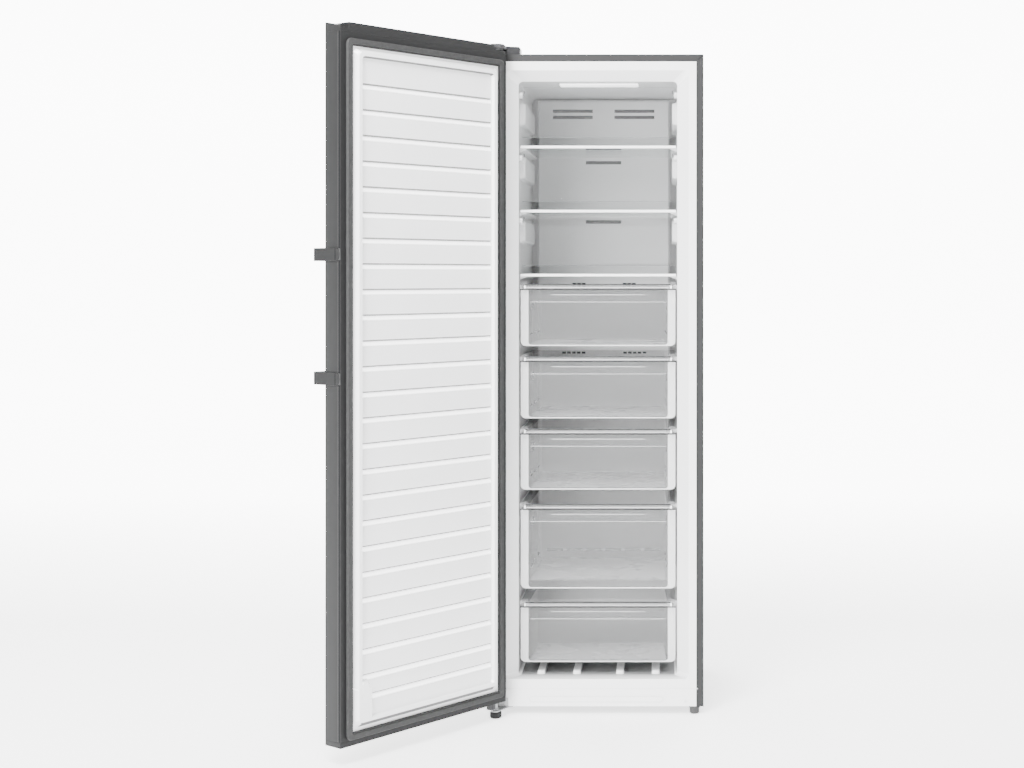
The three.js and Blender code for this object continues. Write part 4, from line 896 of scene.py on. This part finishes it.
@dataclass
class Fittings:
    """Glass shelves, tilting flaps and drawers."""

    shop: Workshop
    shelves: int = 3
    flaps: int = 3
    front_half: float = 221.0
    front_plane: float = 48.0
    corner: float = 16.0
    bin_half: float = 197.0
    bin_back: float = 430.0
    bin_taper: float = 8.0
    flange_inset: float = 2.4
    flange_thickness: float = 0.0018
    slot_depths: tuple[float, ...] = (100.0, 205.0, 310.0)
    drawers: tuple[Drawer, ...] = (
        Drawer(1, 1028.0, 1190.0),
        Drawer(2, 823.0, 986.0),
        Drawer(3, 621.0, 781.0),
        Drawer(4, 341.0, 568.0),
        Drawer(5, 133.0, 292.0),
    )
    # Painted light across each drawer: the dark bar at the rim is a painted dark reflection, the dark bar at
    # the band's lower edge a painted shadow in the gap, the dark bar on the step's edge painted shade, and
    # the white bar above the step a painted highlight.
    lines: tuple[FrontLine, ...] = (
        FrontLine("rim", 205.0, -10.2, 12.4, 2.5, Coat.SHADE_LINE),
        FrontLine("joint", 220.0, -10.2, -0.8, 2.5, Coat.SHADE_LINE),
        FrontLine("rail", 205.0, -9.0, 4.2, 3.0, Coat.RAIL_CLEAR),
        FrontLine("step", 193.0, 2.1, -36.2, 1.8, Coat.DRAWER_FRAME),
        FrontLine("step_shade_line", 193.0, 2.1, -34.2, 1.5, Coat.SHADE_LINE),
        FrontLine("crest", 133.0, 2.1, -15.6, 1.5, Coat.TRIM_WHITE),
    )
    ends: tuple[BandEnd, ...] = (
        BandEnd("clip", 17.0, 11.5, 11.0, Coat.TRIM_WHITE),
        BandEnd("catch", 11.0, 8.4, 12.0, Coat.SHADE_LINE),
    )

    def build(self) -> None:
        """Dresses shelves, flaps and drawers, and adds what the solids leave out."""
        for number in range(1, self.shelves + 1):
            self.shop.paints.dress(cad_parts[f"glass_shelf_{number}"], Coat.SHELF_GLASS)
            self.shop.rounded(f"shelf_trim_{number}", Coat.TRIM_WHITE, "cabinet", 0.6)
        for number in range(1, self.flaps + 1):
            flap = self.shop.rounded(f"flap_{number}", Coat.FLAP_CLEAR, f"flap_{number}", 0.5)
            # Painted shade on the flap's upper and lower faces.
            self.shop.tinted(flap, Coat.CLEAR_EDGE, lambda at, out, area: abs(out.z) > 0.8)
        lowest = self.drawers[-1]
        for drawer in self.drawers:
            self._bin(drawer)
            self._front(drawer)
            self._surround(drawer)
            self._lines(drawer)
            if drawer is not lowest:
                self._wall_marks(drawer)

    def _bin(self, drawer: Drawer) -> None:
        """Replaces a bin by a copy with a frosted base, and with painted shade on the rim's top and on the
        side slots' edges.

        Args:
            drawer: The drawer.
        """
        made = self.shop.rounded(f"{drawer.body}_bin", Coat.DRAWER_BIN, drawer.body, 0.5)
        rim = (drawer.high + 14.0) / PER_METRE
        below_rim = rim - 0.01
        middle = placed(0.0, 0.0, 0.0).x
        wall = placed(self.bin_half - 14.0, 0.0, 0.0).x - middle
        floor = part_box(f"{drawer.body}_bin")[0].z + 0.004
        largest = 0.00016

        def is_edge(at: Vector, out: Vector, area: float) -> bool:
            """Says whether a face is the rim's top or a side slot's edge."""
            if out.z > FACING and at.z > rim:
                return True
            on_wall = abs(at.x - middle) > wall and abs(out.x) < 0.5
            return area < largest and on_wall and floor < at.z < below_rim

        self.shop.tinted(made, Coat.DRAWER_BASE, lambda at, out, area: abs(out.z) > FACING and at.z < floor)
        # Painted shade on the rim's top and on the side slots' edges.
        self.shop.tinted(made, Coat.CLEAR_EDGE, is_edge)

    def _front(self, drawer: Drawer) -> None:
        """Replaces a front by a clear copy whose top band has a finish of its own.

        Args:
            drawer: The drawer.
        """
        made = self.shop.rounded(f"{drawer.body}_front", Coat.DRAWER_CLEAR, drawer.body, 0.6)
        band = (drawer.high - 0.5) / PER_METRE
        self.shop.tinted(made, Coat.BAND_CLEAR, lambda at, out, area: at.z > band)

    def _lines(self, drawer: Drawer) -> None:
        """Adds the top band's dark lines of painted shadow and reflection, its rail, clips and catches, and
        the moulded step across the window with a painted shade line on its edge and a painted highlight line
        above it.

        Args:
            drawer: The drawer.
        """
        plane, top, thick = self.front_plane, drawer.high, 1.2
        for line in self.lines:
            low = (-line.reach, plane + line.front, top + line.low)
            high = (line.reach, plane + line.front + thick, top + line.low + line.tall)
            self.shop.bar(low, high, f"{drawer.body}_{line.name}", line.coat, drawer.body, 0.2)
        for side, side_name in SIDES:
            for end in self.ends:
                near, far = span(side, self.front_half - end.near, self.front_half - end.far)
                low, high = (near, plane - 9.9, top + 3.0), (far, plane - 8.4, top + end.high)
                self.shop.bar(low, high, f"{drawer.body}_{end.name}_{side_name}", end.coat, drawer.body)

    def _wall_marks(self, drawer: Drawer) -> None:
        """Adds dark plates of painted shade in the side walls' air slots.

        Args:
            drawer: The drawer.
        """
        rim = drawer.high + 15.0
        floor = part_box(f"{drawer.body}_bin")[0].z * PER_METRE
        marks = [(130.5, 189.5, rim - 74.5, rim - 51.5)]
        marks += [(y + 0.5, y + 37.5, floor + 27.5, floor + 31.5) for y in self.slot_depths]
        for side, side_name in SIDES:
            for place, (front, back, low, high) in enumerate(marks):
                depth = (front + back) / 2 - self.front_plane
                wall = self.bin_half - 1.0 - self.bin_taper * depth / (self.bin_back - self.front_plane)
                near, far = span(side, wall - 1.4, wall + 0.35)
                name = f"{drawer.body}_slot_{side_name}_{place}"
                # A plate of painted shade in the slot.
                self.shop.bar((near, front, low), (far, back, high), name, Coat.SLOT_PAINTED_SHADE, drawer.body, 0.2)

    def _surround(self, drawer: Drawer) -> None:
        """Makes the pale flange that runs round the bin's mouth behind the clear front.

        Args:
            drawer: The drawer.
        """
        inset, high = self.flange_inset, drawer.high - 1.6
        shape = bmesh.new()
        edges = self._hanging_arch(
            shape, self.front_half - inset, drawer.low + inset, high, self.corner - inset
        )
        edges += self._hanging_arch(shape, self.bin_half + 0.4, drawer.low + 5.6, high, 8.4)
        bmesh.ops.bridge_loops(shape, edges=edges)
        self.shop.drawn_out(shape, Vector((0.0, self.flange_thickness, 0.0)))
        self.shop.piece(shape, f"{drawer.body}_flange", Coat.DRAWER_FRAME, drawer.body)

    def _hanging_arch(
        self, shape: bmesh.types.BMesh, half: float, low: float, high: float, radius: float
    ) -> list[bmesh.types.BMEdge]:
        """Draws an open U with rounded lower corners just behind the front plate.

        Args:
            shape: The bmesh that gets the line.
            half: Half the width.
            low: The level of the bottom.
            high: The level of both ends.
            radius: The corner's radius.

        Returns:
            The edges of the line.
        """
        plane, steps = self.front_plane + 0.4, 6
        points = [(-half, high)]
        for centre, start in ((-half + radius, math.pi), (half - radius, 1.5 * math.pi)):
            for turn in range(steps + 1):
                angle = start + turn * math.pi / (2 * steps)
                points.append((centre + radius * math.cos(angle), low + radius + radius * math.sin(angle)))
        points.append((half, high))
        corners = [shape.verts.new(placed(x, plane, z)) for x, z in points]
        return [shape.edges.new(pair) for pair in zip(corners, corners[1:])]


@dataclass(frozen=True)
class SlotRow:
    """A row of equal air slots, in millimetres."""

    name: str
    level: float
    height: float
    width: float
    middles: tuple[float, ...]


def pitched(starts: tuple[float, ...], pitch: float, count: int) -> tuple[float, ...]:
    """Returns evenly spaced places, so many of them from each start."""
    return tuple(start + pitch * step for start in starts for step in range(count))


@dataclass
class AirDuct:
    """The dark plates of painted shade that fill the air slots of the duct's cover."""

    shop: Workshop
    face: float = 465.0
    lap: float = 0.7
    proud: float = 0.3
    deep: float = 2.6
    rows: tuple[SlotRow, ...] = (
        SlotRow("outlet_upper", 1737.0, 8.5, 122.0, (-95.0, 95.0)),
        SlotRow("outlet_lower", 1718.0, 8.5, 122.0, (-95.0, 95.0)),
        SlotRow("shelf_first", 1622.0, 9.0, 108.0, (0.0,)),
        SlotRow("shelf_second", 1578.0, 9.0, 108.0, (0.0,)),
        SlotRow("shelf_third", 1395.0, 9.0, 108.0, (0.0,)),
        SlotRow("drawer_upper", 1204.0, 5.0, 11.0, pitched((-90.0, 65.0), 14.0, 3)),
        SlotRow("drawer_lower", 1195.0, 5.0, 11.0, pitched((-90.0, 65.0), 14.0, 3)),
        SlotRow("return", 992.0, 5.0, 10.0, pitched((-122.0, 66.0), 15.0, 5)),
        SlotRow("bottom", 384.0, 6.0, 48.0, pitched((-150.0,), 60.0, 6)),
    )

    def build(self) -> None:
        """Makes one dark plate of painted shade for each slot, lapping a little over its edges."""
        for row in self.rows:
            for place, middle in enumerate(row.middles):
                reach, rise = row.width / 2 + self.lap, row.height / 2 + self.lap
                low = (middle - reach, self.face - self.proud, row.level - rise)
                high = (middle + reach, self.face + self.deep, row.level + rise)
                # A plate of painted shade in the slot.
                self.shop.bar(low, high, f"blade_{row.name}_{place + 1}", Coat.SLOT_PAINTED_SHADE, "cabinet")


@dataclass(frozen=True)
class EdgeBar:
    """A bar on the door's upright side, in millimetres from that side, the skin's back and a level."""

    name: str
    out: tuple[float, float]
    back: tuple[float, float]
    rise: float
    radius: float
    coat: Coat


@dataclass
class Door:
    """The door with its liner, seal, caps and handle."""

    shop: Workshop
    coats: ClassVar[dict[str, Coat]] = {
        "door_outer_skin": Coat.DOOR_GREY,
        "door_foam": Coat.YELLOW_FOAM,
        "door_gasket": Coat.SEAL_GREY,
        "door_top_cap": Coat.DOOR_GREY,
        "door_bottom_cap": Coat.DOOR_GREY,
        "hinge_bush_upper": Coat.LINER_WHITE,
        "hinge_bush_lower": Coat.LINER_WHITE,
        "door_stop": Coat.BLACK_PLASTIC,
        "handle_bracket_lower": Coat.DOOR_GREY,
        "handle_bracket_upper": Coat.DOOR_GREY,
        "handle_bar": Coat.DOOR_GREY,
    }
    soft: ClassVar[dict[str, float]] = {
        "door_outer_skin": 0.5,
        "door_gasket": 0.6,
        "door_top_cap": 1.0,
        "door_bottom_cap": 1.0,
        "handle_bracket_lower": 1.0,
        "handle_bracket_upper": 1.0,
        "handle_bar": 1.5,
    }
    half: float = 296.5
    back: float = -10.3
    liner_half: float = 262.0
    liner_low: float = 82.0
    liner_high: float = 1807.0
    gasket_gap: float = 4.0
    channel_lap: float = 0.3
    channel_depth: float = 7.0
    hem_middle: float = 951.5
    # Each upright side's edge bar is a painted highlight along the skin's corner; the seam bar is a dark
    # joint.
    hem_bars: tuple[EdgeBar, ...] = (
        EdgeBar("edge", (-0.1, 0.25), (-10.4, -8.8), 889.5, 0.1, Coat.STEEL_EDGE),
        EdgeBar("seam", (-0.1, 0.25), (-5.8, -3.6), 889.5, 0.1, Coat.JOINT_DARK),
    )
    bracket_levels: tuple[float, ...] = (970.0, 1282.5)
    bracket_bars: tuple[EdgeBar, ...] = (
        EdgeBar("seam", (3.3, 3.75), (-17.4, -15.8), 15.8, 0.1, Coat.JOINT_DARK),
        EdgeBar("cap", (0.4, 2.0), (-14.8, 1.2), 14.6, 0.7, Coat.STEEL_EDGE),
    )

    def build(self) -> None:
        """Dresses the door's solids, then adds its hems, on each upright side a lighter bar of painted
        highlight with a seam beside it, and the handle brackets' caps and seams.
        """
        self.shop.dressed(self.coats, self.soft, "door")
        self._liner()
        self._channel()
        for side, name in ((-1, "hinge"), (1, "free")):
            for bar in self.hem_bars:
                self._edge_bar(bar, f"hem_{bar.name}_{name}", side, self.hem_middle)
        for number, level in enumerate(self.bracket_levels, start=1):
            for bar in self.bracket_bars:
                self._edge_bar(bar, f"bracket_{number}_{bar.name}", 1, level)

    def _liner(self) -> None:
        """Replaces the liner by a copy with softened edges, groove ramps that glow white as a painted
        highlight, and groove walls in painted shade.
        """
        made = self.shop.rounded("door_liner", Coat.LINER_WHITE, "door", 0.8)
        # Painted shade: the grooves' downward-facing walls are dark grey.
        self.shop.tinted(made, Coat.GROOVE_SHADE, lambda at, out, area: -0.97 < out.z < -0.7 and area < 0.01)
        # Painted highlight: the grooves' upward-facing ramps glow white.
        self.shop.tinted(made, Coat.RIDGE_WHITE, lambda at, out, area: 0.35 < out.z < 0.65)

    def _channel(self) -> None:
        """Makes the dark channel between the seal and the liner's edge, its rubber darker than the seal's as
        painted shade in the recess.
        """
        shape = bmesh.new()
        edges = []
        for grow in (self.channel_lap, self.gasket_gap - self.channel_lap):
            half, low, high = self.liner_half + grow, self.liner_low - grow, self.liner_high + grow
            corners = [
                shape.verts.new(swung(x, self.back + 0.5, z))
                for x, z in ((-half, low), (half, low), (half, high), (-half, high))
            ]
            edges += [shape.edges.new(pair) for pair in zip(corners, corners[1:] + corners[:1])]
        bmesh.ops.bridge_loops(shape, edges=edges)
        self.shop.drawn_out(shape, swung(0.0, self.channel_depth, 0.0) - swung(0.0, 0.0, 0.0))
        self.shop.piece(shape, "seal_channel", Coat.SEAL_SHADE, "door")

    def _edge_bar(self, bar: EdgeBar, name: str, side: int, level: float) -> None:
        """Adds a bar to one of the door's upright sides.

        Args:
            bar: The bar.
            name: The piece's name.
            side: -1 for the hinge's side and 1 for the free side.
            level: The bar's middle height in millimetres.
        """
        near, far = span(side, self.half + bar.out[0], self.half + bar.out[1])
        low = (near, self.back + bar.back[0], level - bar.rise)
        high = (far, self.back + bar.back[1], level + bar.rise)
        self.shop.bar(low, high, name, bar.coat, "door", bar.radius)


# -------------------------------------------- studio


@dataclass(frozen=True)
class Lamp:
    """One soft square light."""

    name: str
    at: Point
    towards: Point
    size: float
    power: float


@dataclass
class Studio:
    """Pale floor and backdrop, soft lights and the photograph's camera."""

    focal: float = 57.76
    shift: tuple[float, float] = (-0.1494, -0.105)
    eye: Point = (0.3909, -4.6449, 1.227)
    reach: float = 14.0
    far: float = 7.0
    tall: float = 9.0
    sweep: float = 2.5
    lamps: tuple[Lamp, ...] = (
        Lamp("key", (-0.5, -2.7, 4.4), (0.0, -0.1, 0.9), 2.0, 520.0),
        Lamp("fill", (-2.4, -4.6, 1.7), (0.1, 0.0, 0.9), 2.6, 520.0),
        Lamp("rim", (0.6, 3.0, 3.8), (0.0, 0.2, 1.2), 2.6, 120.0),
    )

    def build(self) -> None:
        """Builds the room, the lights and the camera."""
        self._room()
        self._sky()
        for lamp in self.lamps:
            self._light(lamp)
        self._camera()

    def _room(self) -> None:
        """Makes the floor sweep up into a backdrop in one sheet."""
        shape = bmesh.new()
        start = [shape.verts.new((-self.reach, y, 0.0)) for y in (-self.reach, self.far)]
        grown = bmesh.ops.extrude_edge_only(shape, edges=[shape.edges.new(start)])
        bmesh.ops.translate(shape, vec=(2 * self.reach, 0.0, 0.0), verts=corners_of(grown))
        near_wall = self.far - 0.1
        back = [edge for edge in shape.edges if all(corner.co.y > near_wall for corner in edge.verts)]
        raised = corners_of(bmesh.ops.extrude_edge_only(shape, edges=back))
        bmesh.ops.translate(shape, vec=(0.0, 0.0, self.tall), verts=raised)
        fold = [
            edge
            for edge in shape.edges
            if all(corner.co.y > near_wall and abs(corner.co.z) < 0.01 for corner in edge.verts)
        ]
        softened(shape, fold, self.sweep, 16)
        bmesh.ops.recalc_face_normals(shape, faces=shape.faces)
        mesh = bpy.data.meshes.new("studio_sweep")
        for face in shape.faces:
            face.smooth = True
        shape.to_mesh(mesh)
        shape.free()
        sweep = bpy.data.objects.new("studio_sweep", mesh)
        bpy.context.collection.objects.link(sweep)
        mesh.materials.append(self._paper())

    @staticmethod
    def _paper() -> bpy.types.Material:
        """Builds the backdrop's paper, which glows more towards the back so that it stays white."""
        shader = Shader("studio_paper")
        paper = shader.noise(3.0, 2.0)
        parts = shader.node("ShaderNodeSeparateXYZ", None, {0: shader.place((1.0, 0.1, 1.0))})
        glow = shader.ramp(Flow(shader, parts.outputs[1]), [(0.12, 0.0), (0.6, 1.0)])
        return shader.surface(
            Base_Color=shader.blend((0.87, 0.87, 0.87), (0.89, 0.89, 0.89), paper),
            Roughness=0.9,
            Emission_Color=shader.blend((0.22, 0.22, 0.22), (1.0, 1.0, 1.0), glow),
            Emission_Strength=8.0,
        )

    @staticmethod
    def _sky() -> None:
        """Lights the room evenly from all round."""
        world = bpy.data.worlds.new("soft_room")
        world.use_nodes = True
        background = world.node_tree.nodes["Background"]
        background.inputs["Color"].default_value = (1.0, 1.0, 1.0, 1.0)
        background.inputs["Strength"].default_value = 0.5
        bpy.context.scene.world = world

    @staticmethod
    def _light(lamp: Lamp) -> None:
        """Adds one soft light.

        Args:
            lamp: Its place, aim, size and power.
        """
        data = bpy.data.lights.new(lamp.name, "AREA")
        data.shape = "SQUARE"
        data.size = lamp.size
        data.energy = lamp.power
        made = bpy.data.objects.new(lamp.name, data)
        bpy.context.collection.objects.link(made)
        aim = Vector(lamp.towards) - Vector(lamp.at)
        made.rotation_euler = aim.to_track_quat("-Z", "Y").to_euler()
        made.location = lamp.at

    def _camera(self) -> None:
        """Sets the camera square to the case's front, shifted as the photograph is framed."""
        data = bpy.data.cameras.new("camera")
        data.sensor_width = 36.0
        data.lens = self.focal
        data.shift_x, data.shift_y = self.shift
        data.clip_end = 60.0
        made = bpy.data.objects.new("camera", data)
        bpy.context.collection.objects.link(made)
        made.rotation_euler = (math.pi / 2, 0.0, 0.0)
        made.location = self.eye
        bpy.context.scene.camera = made


def main() -> None:
    logging.basicConfig(level=logging.INFO, format="%(name)s: %(message)s")
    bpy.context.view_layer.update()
    shop = Workshop(Paintbox())
    for assembly in (Cabinet(shop), CoolingUnit(shop), Fittings(shop), AirDuct(shop), Door(shop)):
        log.info("building %s", type(assembly).__name__)
        assembly.build()
    Studio().build()
    bpy.context.view_layer.update()


if __name__ == "__main__":
    main()
